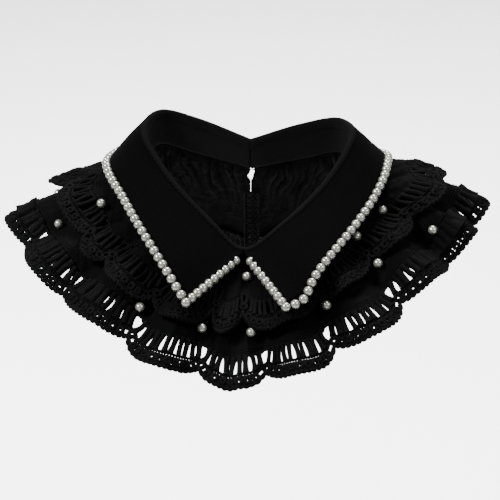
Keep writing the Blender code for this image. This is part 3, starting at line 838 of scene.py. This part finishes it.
def ruffle_cloth(tier):
    numbers = range(len(tier.scallops))
    widths = [scallop_width(tier, number, LADDER_TOP) * MM for number in numbers]
    places = list(along_hem([tier.columns for number in numbers]))
    angles = [hem_angle(tier, number, share) for number, share in places]
    flats = [sum(widths[:number]) + widths[number] * share for number, share in places]
    edges = [cloth_edge(tier, angle) for angle in angles]
    top = max(tier.neck_start, 0)
    rows = [[neck_edge(tier, a) for a in angles]]
    flat_rows = [[(u, 0.0) for u in flats]]
    for row in range(1, tier.rows + 1):
        distances = [top + (edge - top) * (row / tier.rows) for edge in edges]
        rows.append([ruffle_point(a, d, tier.height) for a, d in zip(angles, distances)])
        flat_rows.append([(u, d * MM) for u, d in zip(flats, distances)])
    made = sheet_object(tier.name + "_ruffle_cloth", rows, flat_rows, COTTON, SHELL)
    print(made.name, len(made.data.polygons), "faces, strip", round(sum(widths), 3), "m long")
    return made, sum(widths)


lower_cloth, lower_strip = ruffle_cloth(LOWER)
upper_cloth, upper_strip = ruffle_cloth(UPPER)

# %% [markdown]
# ## Working the lace
#
# Crochet is one long strand, so the lace is drawn as strands: each is a list of points with a
# radius. A Geometry Nodes tree turns all the strands of a ruffle into round yarn at once, and
# stores how far along and how far round each point is, for the twist in the material.

# %% The yarn tree
def new_tree(name, inputs):
    """A geometry tree with named inputs, each (name, type, default), and a finish: a first wire to
    build on and a wire for each input."""
    tree = bpy.data.node_groups.new(name, "GeometryNodeTree")
    for label, kind, default in [("Geometry", "Geometry", None), *inputs, ("Finish", "Material", None)]:
        socket = tree.interface.new_socket(label, in_out="INPUT", socket_type="NodeSocket" + kind)
        if default is not None:
            socket.default_value = default
    tree.interface.new_socket("Geometry", in_out="OUTPUT", socket_type="NodeSocketGeometry")
    given = tree.nodes.new("NodeGroupInput")
    return Wire(tree), {socket.name: Wire(tree, socket) for socket in given.outputs}


def geometry_node(start, kind, settings=None, **sockets):
    return start.node("GeometryNode" + kind, settings, sockets)


def finished(start, shape, finish):
    """Makes copies real, gives them their finish and hands them out of the tree."""
    real = geometry_node(start, "RealizeInstances", Geometry=shape)
    done = geometry_node(start, "SetMaterial", Geometry=real, Material=finish)
    result = start.tree.nodes.new("NodeGroupOutput")
    start.tree.links.new(done.socket, result.inputs["Geometry"])
    return start.tree


def copies(start, spots, shape, turn):
    """A smooth copy of a shape on each spot."""
    smooth = geometry_node(start, "SetShadeSmooth", Geometry=shape)
    return geometry_node(start, "InstanceOnPoints", Points=spots, Instance=smooth, Rotation=turn)


def kept(start, curve, name, value):
    """Stores a value on the points of a curve under a name."""
    given = {"Geometry": curve, "Name": name, "Value": value}
    return geometry_node(start, "StoreNamedAttribute", {"data_type": "FLOAT"}, **given)


def yarn_tree():
    start, given = new_tree("yarn", [("Sides", "Int", 6)])
    spline = geometry_node(start, "SplineParameter")
    strands = kept(start, given["Geometry"], "along", spline.also("Length"))
    circle = geometry_node(start, "CurvePrimitiveCircle", Resolution=given["Sides"], Radius=MM)
    profile = kept(start, circle, "around", spline.also("Factor"))
    radius = geometry_node(start, "InputRadius")
    round_yarn = {"Profile Curve": profile, "Fill Caps": True}
    tube = geometry_node(start, "CurveToMesh", Curve=strands, Scale=radius, **round_yarn)
    smooth = geometry_node(start, "SetShadeSmooth", Geometry=tube)
    return finished(start, smooth, given["Finish"])


def made_by(tree, source, name, **values):
    """Runs a tree on an object and returns the result as a plain mesh object."""
    modifier = source.modifiers.new("made", "NODES")
    modifier.node_group = tree
    for item in tree.interface.items_tree:
        if item.in_out == "INPUT" and item.name.lower() in values:
            modifier[item.identifier] = values[item.name.lower()]
    source.update_tag()
    graph = bpy.context.evaluated_depsgraph_get()
    mesh = bpy.data.meshes.new_from_object(source.evaluated_get(graph), depsgraph=graph)
    mesh.name = name
    made = placed(name, mesh)
    bpy.data.objects.remove(source)
    return made


def strand(points, radius, closed=False):
    """A strand of one thickness."""
    return points, [radius] * len(points), closed


def strands_object(name, strands):
    """Strands as one curve object: each strand is (points, radii in millimetres, closed)."""
    curve = bpy.data.curves.new(name, "CURVE")
    curve.dimensions = "3D"
    for points, radii, closed in strands:
        spline = curve.splines.new("POLY")
        spline.points.add(len(points) - 1)
        for spot, place, radius in zip(spline.points, points, radii):
            spot.co = (*place, 1)
            spot.radius = radius
        spline.use_cyclic_u = closed
    return placed(name, curve)


YARN_TREE = yarn_tree()

# %% [markdown]
# ## The strands of one scallop
#
# The sizes come from the photograph: bars about five millimetres apart, tiny posts three to each
# bar, a ring for each bar, and a larger ring in each cusp. The bars aren't ruled: pairs lean
# together and each is a little bent, as hand work is.

# %% Bars, posts, rings and rim
BAR_PITCH = 4.9
BAR_RADIUS = 1.9
BAR_WAIST = 1.5
BAR_UNEVEN = 0.3
POSTS_PER_BAR = 2.6
POST_RADIUS = 0.66
CORD_RADIUS = 0.94
EDGE_CORD_RADIUS = 0.9
RIM_RADIUS = 1.25
RING_RADIUS = 1.75
RING_YARN = 1.48
RING_UNEVEN = 0.3
CUSP_RING_RADIUS = 2.0
RIM_WAVE = 0.55
RIM_WAVES_PER_BAR = 1.6
STITCH_LINES = (1.8, 3.5, 5.2)
STITCH_LINE_RADIUS = 0.3
MID_WALL = -0.55
CORD_STEPS = 34
RING_CORNERS = 10
LEAN_TOGETHER = 0.13
LEAN_UNEVEN = 0.12
BAR_STEPS = 5
BAR_OVERLAP = 0.6
BARS_WIDTH = 0.975
POSTS_WIDTH = 0.985
RING_LOOK = 0.02
STEADY_REACH = 1.6
STITCH_LINE_LIFT = 0.05
EDGE_CORD_LIFT = 0.25
RIM_STEPS_PER_WAVE = 5
BAR_BEND = 0.35


def lace_at(tier, number, across, deep, lift=MID_WALL):
    angle, distance = plan_place(tier, number, across, deep)
    return ruffle_point(angle, distance, tier.height, lift)


def steady(number, index):
    """A fixed value from -1 to 1 that looks random."""
    return noise.noise(Vector((number * 7.31 + 0.5, index * 3.17 + 0.25, 1.7))) * STEADY_REACH


LADDER_FULLNESS = {
    -180: 1.6, -118: 1.4, -96: 1.7, -75.5: 1.5, -56: 1.55, -35: 1.1, -12: 1.15, 33: 1.2,
    50.5: 1.5, 67: 2.2, 81: 1.6, 98: 1.3, 160: 1.8, -160: 1.8,
}


def fullness(tier, number):
    """How much thicker the bars look where the lower ladder is closed up or lies in a fold."""
    return LADDER_FULLNESS.get(tier.scallops[number].start, 1.0) if tier is LOWER else 1.0


def bars(tier, number, count):
    found = []
    full = fullness(tier, number)
    for index in range(count + 1):
        place = 2 * index / count - 1
        lean = LEAN_TOGETHER * (1 if index % 2 else -1) + LEAN_UNEVEN * steady(number, index + 40)
        foot = full * (1 + BAR_UNEVEN * steady(number, index + 20))
        top = full * (1 + BAR_UNEVEN * steady(number, index + 60))
        points, radii = [], []
        for step in range(BAR_STEPS + 1):
            share = step / BAR_STEPS
            bend = BAR_BEND * steady(number, index) * math.sin(math.pi * share)
            across = (place + (2 * lean * (1 - share) + bend) / count) * BARS_WIDTH
            deep = INNER_CORD + (LADDER_TOP + BAR_OVERLAP - INNER_CORD) * share
            points.append(lace_at(tier, number, min(max(across, -1), 1), deep))
            thick = BAR_WAIST + (BAR_RADIUS - BAR_WAIST) * abs(2 * share - 1) ** 1.5
            radii.append(thick * (foot + (top - foot) * share))
        found.append((points, radii, False))
    return found


def posts(tier, number, count):
    total = round(count * POSTS_PER_BAR)
    radius = POST_RADIUS * fullness(tier, number) ** 1.5
    places = [(2 * index / total - 1) * POSTS_WIDTH for index in range(total + 1)]
    ends = (MIDDLE_CORD, INNER_CORD)
    return [strand([lace_at(tier, number, across, deep) for deep in ends], radius) for across in places]


RING_TURNS = [2 * math.pi * corner / RING_CORNERS for corner in range(RING_CORNERS)]


def ring(tier, number, across, radius):
    """A ring of yarn that lies in the lace."""
    middle = lace_at(tier, number, across, RING_ROW)
    places = max(across - RING_LOOK, -1), min(across + RING_LOOK, 1)
    left, right = (lace_at(tier, number, place, RING_ROW) for place in places)
    side = (right - left).normalized()
    inner, outer = (lace_at(tier, number, across, RING_ROW + step) for step in (1, -1))
    down = outer - inner
    down = (down - side * down.dot(side)).normalized()
    points = [middle + (side * math.cos(t) + down * math.sin(t)) * radius * MM for t in RING_TURNS]
    return strand(points, RING_YARN, closed=True)


def cord(tier, deep, radius, lift=MID_WALL, waves=None):
    """A cord round the whole hem at one depth of the plan, with waves[n] waves in scallop n."""
    counts = [CORD_STEPS for scallop in tier.scallops]
    if waves:
        counts = [ripple * RIM_STEPS_PER_WAVE for ripple in waves]
    points = []
    for number, share in along_hem(counts):
        rise = RIM_WAVE * math.cos(2 * math.pi * waves[number] * share) if waves else 0
        points.append(lace_at(tier, number, 2 * share - 1, deep + rise, lift))
    return strand(points, radius)


def work_lace(tier):
    """All the strands of one ruffle's lace."""
    numbers = range(len(tier.scallops))
    counts = [max(round(scallop_width(tier, n, LADDER_MIDDLE) / BAR_PITCH), 4) for n in numbers]
    strands = [cord(tier, LADDER_TOP, EDGE_CORD_RADIUS, lift=MID_WALL + EDGE_CORD_LIFT)]
    strands += [cord(tier, deep, CORD_RADIUS) for deep in (INNER_CORD, MIDDLE_CORD, OUTER_CORD)]
    waves = [round(count * RIM_WAVES_PER_BAR) for count in counts]
    strands.append(cord(tier, RIM_DEPTH, RIM_RADIUS, waves=waves))
    for number, count in enumerate(counts):
        strands += bars(tier, number, count)
        strands += posts(tier, number, count)
        for index in range(1, count):
            size = RING_RADIUS + RING_UNEVEN * steady(number, index + 80)
            strands.append(ring(tier, number, 2 * index / count - 1, size))
        strands.append(ring(tier, number, -1, CUSP_RING_RADIUS))
    strands.append(ring(tier, len(counts) - 1, 1, CUSP_RING_RADIUS))
    return strands


def stitch_lines(tier):
    """Fine corded lines in the cloth, side by side along the edge of the ladder."""
    counts = [CORD_STEPS for scallop in tier.scallops]
    angles = [hem_angle(tier, number, share) for number, share in along_hem(counts)]
    lines = []
    for inside in STITCH_LINES:
        spots = [(angle, cloth_edge(tier, angle) - inside) for angle in angles]
        line = [ruffle_point(*spot, tier.height, STITCH_LINE_LIFT) for spot in spots]
        lines.append(strand(line, STITCH_LINE_RADIUS))
    return lines


# %% [markdown]
# ## The lace edge down the back
#
# The right half of the lower ruffle laps a little over the left one at the centre back, and its
# edge is bordered too. It shows inside the neck, below the keyhole.

# %% Back lap
LAP_START = 22.0
LAP_END = 90.0
LAP_STEP = 3.0
LAP_INSIDE = 1.9
LAP_CORDS = ((-4.6, 0.7), (-2.4, 0.6))
LAP_RINGS_AT = 0.7
LAP_RIM_AT = 4.0
LAP_RIM_RADIUS = 1.15
LAP_RING_PITCH = 5.0


def lap_point(offset, distance):
    left, right = (ruffle_point(angle, distance, lower_height) for angle in (-HEM_END, HEM_END))
    inward = drape_normal(HEM_END - NORMAL_STEP, distance) * LAP_INSIDE * MM
    return (right + left) / 2 - inward + Vector((offset * MM, 0, 0))


def back_lap():
    steps = round((LAP_END - LAP_START) / LAP_STEP)
    distances = [LAP_START + LAP_STEP * step for step in range(steps + 1)]
    strands = [strand([lap_point(x, d) for d in distances], radius) for x, radius in LAP_CORDS]
    strands += [strand([lap_point(x, d) for x, _ in LAP_CORDS], POST_RADIUS) for d in distances]
    fine = [LAP_START + LAP_STEP * step / 6 for step in range(steps * 6 + 1)]
    rim = [lap_point(LAP_RIM_AT + RIM_WAVE * math.cos(2 * math.pi * d / LAP_STEP), d) for d in fine]
    strands.append(strand(rim, LAP_RIM_RADIUS))
    for turn in range(round((LAP_END - LAP_START) / LAP_RING_PITCH)):
        d = LAP_START + LAP_RING_PITCH * (turn + 0.5)
        spots = [(RING_RADIUS * math.cos(t), RING_RADIUS * math.sin(t)) for t in RING_TURNS]
        loop = [lap_point(LAP_RINGS_AT + x, d + y) for x, y in spots]
        strands.append(strand(loop, RING_YARN, closed=True))
    return strands


# %% Make both laces
def lace_object(tier):
    strands = work_lace(tier) + stitch_lines(tier) + (back_lap() if tier is LOWER else [])
    source = strands_object(tier.name + "_strands", strands)
    made = made_by(YARN_TREE, source, tier.name + "_ruffle_lace", sides=5, finish=YARN)
    print(made.name, len(strands), "strands,", len(made.data.polygons), "faces")
    return made


lower_lace = lace_object(LOWER)
upper_lace = lace_object(UPPER)

# %% [markdown]
# ## The stand
#
# The stand is the upright band round the neck. Only its inside shows, as a smooth band above the
# gathers. It is a fine strip from just under the fold to the seam.

# %% Stand
STAND_THICKNESS = 1.4
STAND_DROP = 2.9
STAND_COLUMNS = 180
STAND_ROWS = 10


def flat_places(rows):
    """Each point's place on the flat cut: along its own row, and down its column."""
    flat_rows, down = [], 0.0
    for index, row in enumerate(rows):
        if index:
            down += sum((a - b).length for a, b in zip(rows[index - 1], row)) / len(row)
        along = [0.0]
        for a, b in zip(row, row[1:]):
            along.append(along[-1] + (b - a).length)
        flat_rows.append([(u, down) for u in along])
    return flat_rows


def neck_band():
    rows = []
    for row in range(STAND_ROWS + 1):
        share = row / STAND_ROWS
        points = []
        for column in range(STAND_COLUMNS + 1):
            angle = -180 + 360 * column / STAND_COLUMNS
            top = roll_point(angle) - Vector((0, 0, STAND_DROP))
            points.append(leaned(top.lerp(seam_point(angle), share)))
        rows.append(points)
    return sheet_object("neck_band", rows, flat_places(rows), STAND_POPLIN_PAINTED_LIGHTER, STAND_THICKNESS), rows


band, band_rows = neck_band()
band_length = strip_length(band_rows[-1])
print("stand", round(band_length, 3), "m long at the seam")

# %% [markdown]
# ## The collar leaves
#
# Each leaf starts inside the neck, rolls over the top of the stand and falls to the line of pearls,
# with a point in front. The roll is a soft fold, not a crease, so its profile is a smooth curve
# through a few points given as how far out and how far up they are from the fold.

# %% Leaves
LEAF_THICKNESS = 1.0
PEARL_RADIUS = 2.9
PEARL_SPACING = 5.75
LEAF_PROFILE = [
    (-1.75, -7.0), (-1.95, -4.5), (-1.6, -2.0), (-0.6, -0.5), (0.8, 0.0), (2.2, -0.5), (3.4, -1.7),
]
PROFILE_STEPS = 3
LEAF_COLUMNS = 110
LEAF_ROWS = 26
LEAF_START_ANGLE = 0.4
LEAF_FRONT_TURN = 2.0
LEAF_END_ANGLE = 180
LEAF_COLUMN_CROWDING = 1.15
LEAF_BULGE = 0.5
LEAF_SOFTNESS = 0.35
LEAF_CORNER_SHARE = 0.35
FOLD_FADE_ROWS = 6
LEAF_INSET = PEARL_RADIUS + SEAM_GAP + 0.4
POINT_INSET = 5.9
CORNER_SPAN = 14
RIGHT_LEAF_BOW = 6.5
BOW_ANGLE = 9
FRONT_PEARL_X = 4.6
FRONT_PEARL_DROP = 7.0
FRONT_PEARL_OUT = 6.0


def leaf_edge_point(side, angle):
    """The line of pearls, before the lean. The right leaf bows out behind its point."""
    row = station(angle)
    x = row.leaf_x
    if side > 0:
        x += RIGHT_LEAF_BOW * angle / BOW_ANGLE * math.exp(1 - angle / BOW_ANGLE)
    return Vector((side * x, row.leaf_y, row.leaf_z))


def front_pearl_start(side):
    roll = roll_point(0)
    return Vector((side * FRONT_PEARL_X, roll.y - FRONT_PEARL_OUT, roll.z - FRONT_PEARL_DROP))


def leaf_corner(side):
    tip = leaf_edge_point(side, 0)
    along_front = (front_pearl_start(side) - tip).normalized()
    along_side = (leaf_edge_point(side, CORNER_SPAN) - tip).normalized()
    return tip + (along_front + along_side).normalized() * POINT_INSET


def leaf_cloth_edge(side, angle):
    edge = leaf_edge_point(side, angle)
    inset = edge + (roll_point(side * angle) - edge).normalized() * LEAF_INSET
    return leaf_corner(side).lerp(inset, smoothstep(angle / CORNER_SPAN))


def smooth_profile():
    """The roll's profile with steps between its given points."""
    given = [Vector(p) for p in LEAF_PROFILE]
    padded = [2 * given[0] - given[1], *given, 2 * given[-1] - given[-2]]
    found = []
    for index in range(len(given) - 1):
        a, b, c, d = padded[index : index + 4]
        for step in range(PROFILE_STEPS):
            found.append(cubic(a, b, c, d, step / PROFILE_STEPS))
    return found + [given[-1]]


def collar_leaf(name, side):
    profile = smooth_profile()
    columns = []
    for column in range(LEAF_COLUMNS + 1):
        share = (column / LEAF_COLUMNS) ** LEAF_COLUMN_CROWDING
        angle = LEAF_START_ANGLE + (LEAF_END_ANGLE - LEAF_START_ANGLE) * share
        roll = roll_point(side * angle)
        out = fan_direction(side * angle)
        points = [roll + out * p.x + Vector((0, 0, p.y)) for p in profile]
        start = points[-1]
        past = max(angle - LEAF_FRONT_TURN, LEAF_CORNER_SHARE * (angle - LEAF_START_ANGLE))
        end = leaf_cloth_edge(side, past)
        lift = (out + Vector((0, 0, 1))).normalized()
        for row in range(1, LEAF_ROWS + 1):
            fall = row / LEAF_ROWS
            soft = LEAF_SOFTNESS * noise.noise(Vector((side * angle * 0.05, fall * 3, 60 + side)))
            bulge = (LEAF_BULGE + soft) * math.sin(math.pi * fall)
            points.append(start.lerp(end, fall) + lift * bulge)
        columns.append([leaned(p) for p in points])
    rows = [list(row) for row in zip(*columns)]
    flat_rows = flat_places(rows)
    made = sheet_object(name, rows, flat_rows, POPLIN, LEAF_THICKNESS, flip=side < 0)
    # A mask for the painted highlight along the fold: 1 on the roll, fading out below it.
    fold_highlight_mask = made.data.attributes.new("fold", "FLOAT", "POINT")
    for index in range(len(made.data.vertices)):
        past = index // len(columns) - len(profile)
        fold_highlight_mask.data[index].value = 1 - smoothstep((past + FOLD_FADE_ROWS) / FOLD_FADE_ROWS)
    return made, rows


leaf_left, leaf_left_rows = collar_leaf("leaf_left", -1)
leaf_right, leaf_right_rows = collar_leaf("leaf_right", 1)
print("leaves", len(leaf_left.data.polygons), "faces each")

# %% [markdown]
# ## Top stitching
#
# A line of small stitches holds the foot of the stand, and another lies just outside the fold.
# They repeat along a path, so a tree walks the path in steps and lays one short thread at each.

# %% The stitch tree
STITCH_PITCH = 3.0
STITCH_LENGTH = 2.2
STITCH_RADIUS = 0.17


def stitch_tree():
    labels = ("Pitch", "Stitch length", "Thread radius")
    sizes = (STITCH_PITCH * MM, STITCH_LENGTH * MM, STITCH_RADIUS * MM)
    start, given = new_tree("stitches", [(n, "Float", size) for n, size in zip(labels, sizes)])
    length = {"mode": "LENGTH"}
    walk = geometry_node(start, "CurveToPoints", length, Curve=given["Geometry"], Length=given["Pitch"])
    size = {"Depth": given["Stitch length"], "Radius": given["Thread radius"]}
    thread = geometry_node(start, "MeshCylinder", Vertices=6, **size)
    return finished(start, copies(start, walk, thread, walk.also("Rotation")), given["Finish"])


STITCH_TREE = stitch_tree()

# %% Stitch lines on the stand and the leaves
STAND_STITCH_RISE = 1.8
STAND_STITCH_IN = STAND_THICKNESS + 0.02
FOLD_STITCH_OUT = 2.7
FOLD_STITCH_DROP = 0.95
STAND_STITCH_ANGLES = range(-176, 177, 2)
FOLD_STITCH_ANGLES = range(3, 177, 2)


def stand_stitch_point(angle):
    foot = seam_point(angle) + Vector((0, 0, STAND_STITCH_RISE))
    return leaned(foot - fan_direction(angle) * STAND_STITCH_IN)


def fold_stitch_point(angle):
    out = fan_direction(angle) * FOLD_STITCH_OUT
    return leaned(roll_point(angle) + out - Vector((0, 0, FOLD_STITCH_DROP)))


def top_stitches():
    lines = [[stand_stitch_point(a) for a in STAND_STITCH_ANGLES]]
    lines += [[fold_stitch_point(side * a) for a in FOLD_STITCH_ANGLES] for side in (-1, 1)]
    source = strands_object("stitch_lines", [strand(line, 1) for line in lines])
    made = made_by(STITCH_TREE, source, "top_stitches", finish=YARN)
    print("top stitches", len(made.data.polygons), "faces")
    return made


stitches = top_stitches()

# %% [markdown]
# ## Pearls
#
# The pearls are strung bead to bead along each leaf and sewn singly on the ruffles. One tree makes
# both: it sets a round bead on each point that it is given. For a row the points are a fixed
# distance apart along the edge, found by halving.

# %% The bead tree
def bead_tree():
    inputs = [("Bead radius", "Float", PEARL_RADIUS * MM), ("Segments", "Int", 28)]
    start, given = new_tree("beads", inputs)
    rings = given["Segments"].maths("DIVIDE", 2)
    size = {"Segments": given["Segments"], "Rings": rings, "Radius": given["Bead radius"]}
    sphere = geometry_node(start, "MeshUVSphere", **size)
    random = {"Max": (math.pi, math.pi, math.pi), "Seed": 4}
    spin = start.node("FunctionNodeRandomValue", {"data_type": "FLOAT_VECTOR"}, random)
    return finished(start, copies(start, given["Geometry"], sphere, spin), given["Finish"])


BEAD_TREE = bead_tree()


def beads(name, centres):
    """A pearl on each of the centres."""
    points = placed(name + "_points", mesh_of(name + "_points", centres))
    return made_by(BEAD_TREE, points, name, finish=PEARL)


# %% Pearls along the leaves
PEARL_END_ANGLE = 179
FRONT_PEARLS = 9
FRONT_PEARL_LIFT = Vector((0, -3.4, 1.6))
HALVINGS = 24


def front_pearls(side):
    """The pearls from the neck to just above the point. The first ones stand clear of the fold."""
    start = front_pearl_start(side) + FRONT_PEARL_LIFT
    return [start.lerp(leaf_edge_point(side, 0), k / FRONT_PEARLS) for k in range(FRONT_PEARLS)]


def spaced(line, spacing):
    """Points a fixed distance apart along a fine line."""
    found = [line[0]]
    for a, b in zip(line, line[1:]):
        while (b - found[-1]).length >= spacing:
            low, high = 0.0, 1.0
            for _ in range(HALVINGS):
                middle = (low + high) / 2
                if (a.lerp(b, middle) - found[-1]).length < spacing:
                    low = middle
                else:
                    high = middle
            found.append(a.lerp(b, high))
    return found


def pearl_row(name, side):
    edge = [leaf_edge_point(side, angle) for angle in range(PEARL_END_ANGLE)]
    centres = [leaned(p) for p in front_pearls(side) + spaced(edge, PEARL_SPACING)]
    print(name, len(centres), "pearls")
    return beads(name, centres)


pearls_left = pearl_row("pearls_left", -1)
pearls_right = pearl_row("pearls_right", 1)

# %% [markdown]
# ## Pearls sewn on the ruffles
#
# These sit one by one on the cloth. Each is given by the ruffle that carries it, its angle and its
# distance from the neck seam, and rests just above the cloth along its normal.

# %% Single pearls
LOWER_PEARLS = [
    (-160, 61), (-139, 61), (-118, 60), (-96, 61), (-75.5, 61), (-36.5, 65),
    (-15, 55.5), (6.5, 52.5), (35.5, 56.5), (53.5, 53.5), (70, 65), (98, 61),
    (118, 60), (139, 61), (160, 61),
]
UPPER_PEARLS = [
    (-156, 37), (-133, 37), (-115, 37), (-71, 35), (4, 12), (56, 30),
    (69, 31), (115, 37), (134, 37), (157, 37),
]
SEWN_PEARLS = [(LOWER, *spot) for spot in LOWER_PEARLS] + [(UPPER, *spot) for spot in UPPER_PEARLS]
PEARL_SEAT = 0.1


def sewn_pearls():
    seats = [ruffle_point(a, d, tier.height, PEARL_RADIUS + PEARL_SEAT) for tier, a, d in SEWN_PEARLS]
    print("single pearls", len(seats))
    return beads("pearls_on_ruffles", seats)


loose_pearls = sewn_pearls()

# %% [markdown]
# ## Each piece on the frame
#
# Every piece rides on the one rigid body, and the solids of the frame that it stands for are hidden.
# Each sheet of cloth also prints how large it was when it was cut flat.

# %% Ride, hide the replaced solids, print the flat sizes
LOOSE_NODES = ["loose_pearl_%02d" % (k + 1) for k in range(len(SEWN_PEARLS))]
PIECES = [
    (band, "black_poplin", ["neck_stand"]),
    (leaf_left, "black_poplin", ["collar_leaf_left"]),
    (leaf_right, "black_poplin", ["collar_leaf_right"]),
    (pearls_left, "pearl", ["pearl_row_left"]),
    (pearls_right, "pearl", ["pearl_row_right"]),
    (loose_pearls, "pearl", LOOSE_NODES),
    (lower_cloth, "black_lace", ["lower_ruffle_left", "lower_ruffle_right"]),
    (upper_cloth, "black_lace", ["upper_ruffle_left", "upper_ruffle_right"]),
    (lower_lace, "black_lace", []),
    (upper_lace, "black_lace", []),
    (stitches, "black_poplin", []),
]
for piece, slot, nodes in PIECES:
    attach(piece, "root")
    if nodes:
        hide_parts(*nodes)

for node, finish in (("back_button", BUTTON), ("button_loop", YARN)):
    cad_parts[node].data.materials.clear()
    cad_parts[node].data.materials.append(finish)


def declare(made, width, length):
    area = min(sum(face.area for face in made.data.polygons), width * length)
    print(made.name, "flat", round(width, 3), "x", round(length, 3), "m, area", round(area, 4))


declare(band, band_length, 0.026)
LEAVES = [(leaf_left, leaf_left_rows, pearls_left), (leaf_right, leaf_right_rows, pearls_right)]
for leaf, rows, pearls in LEAVES:
    longest = max(strip_length(row) for row in rows)
    deepest = max(strip_length(column) for column in zip(*rows))
    declare(leaf, longest, deepest)
declare(lower_cloth, lower_strip, 0.076)
declare(upper_cloth, upper_strip, 0.048)
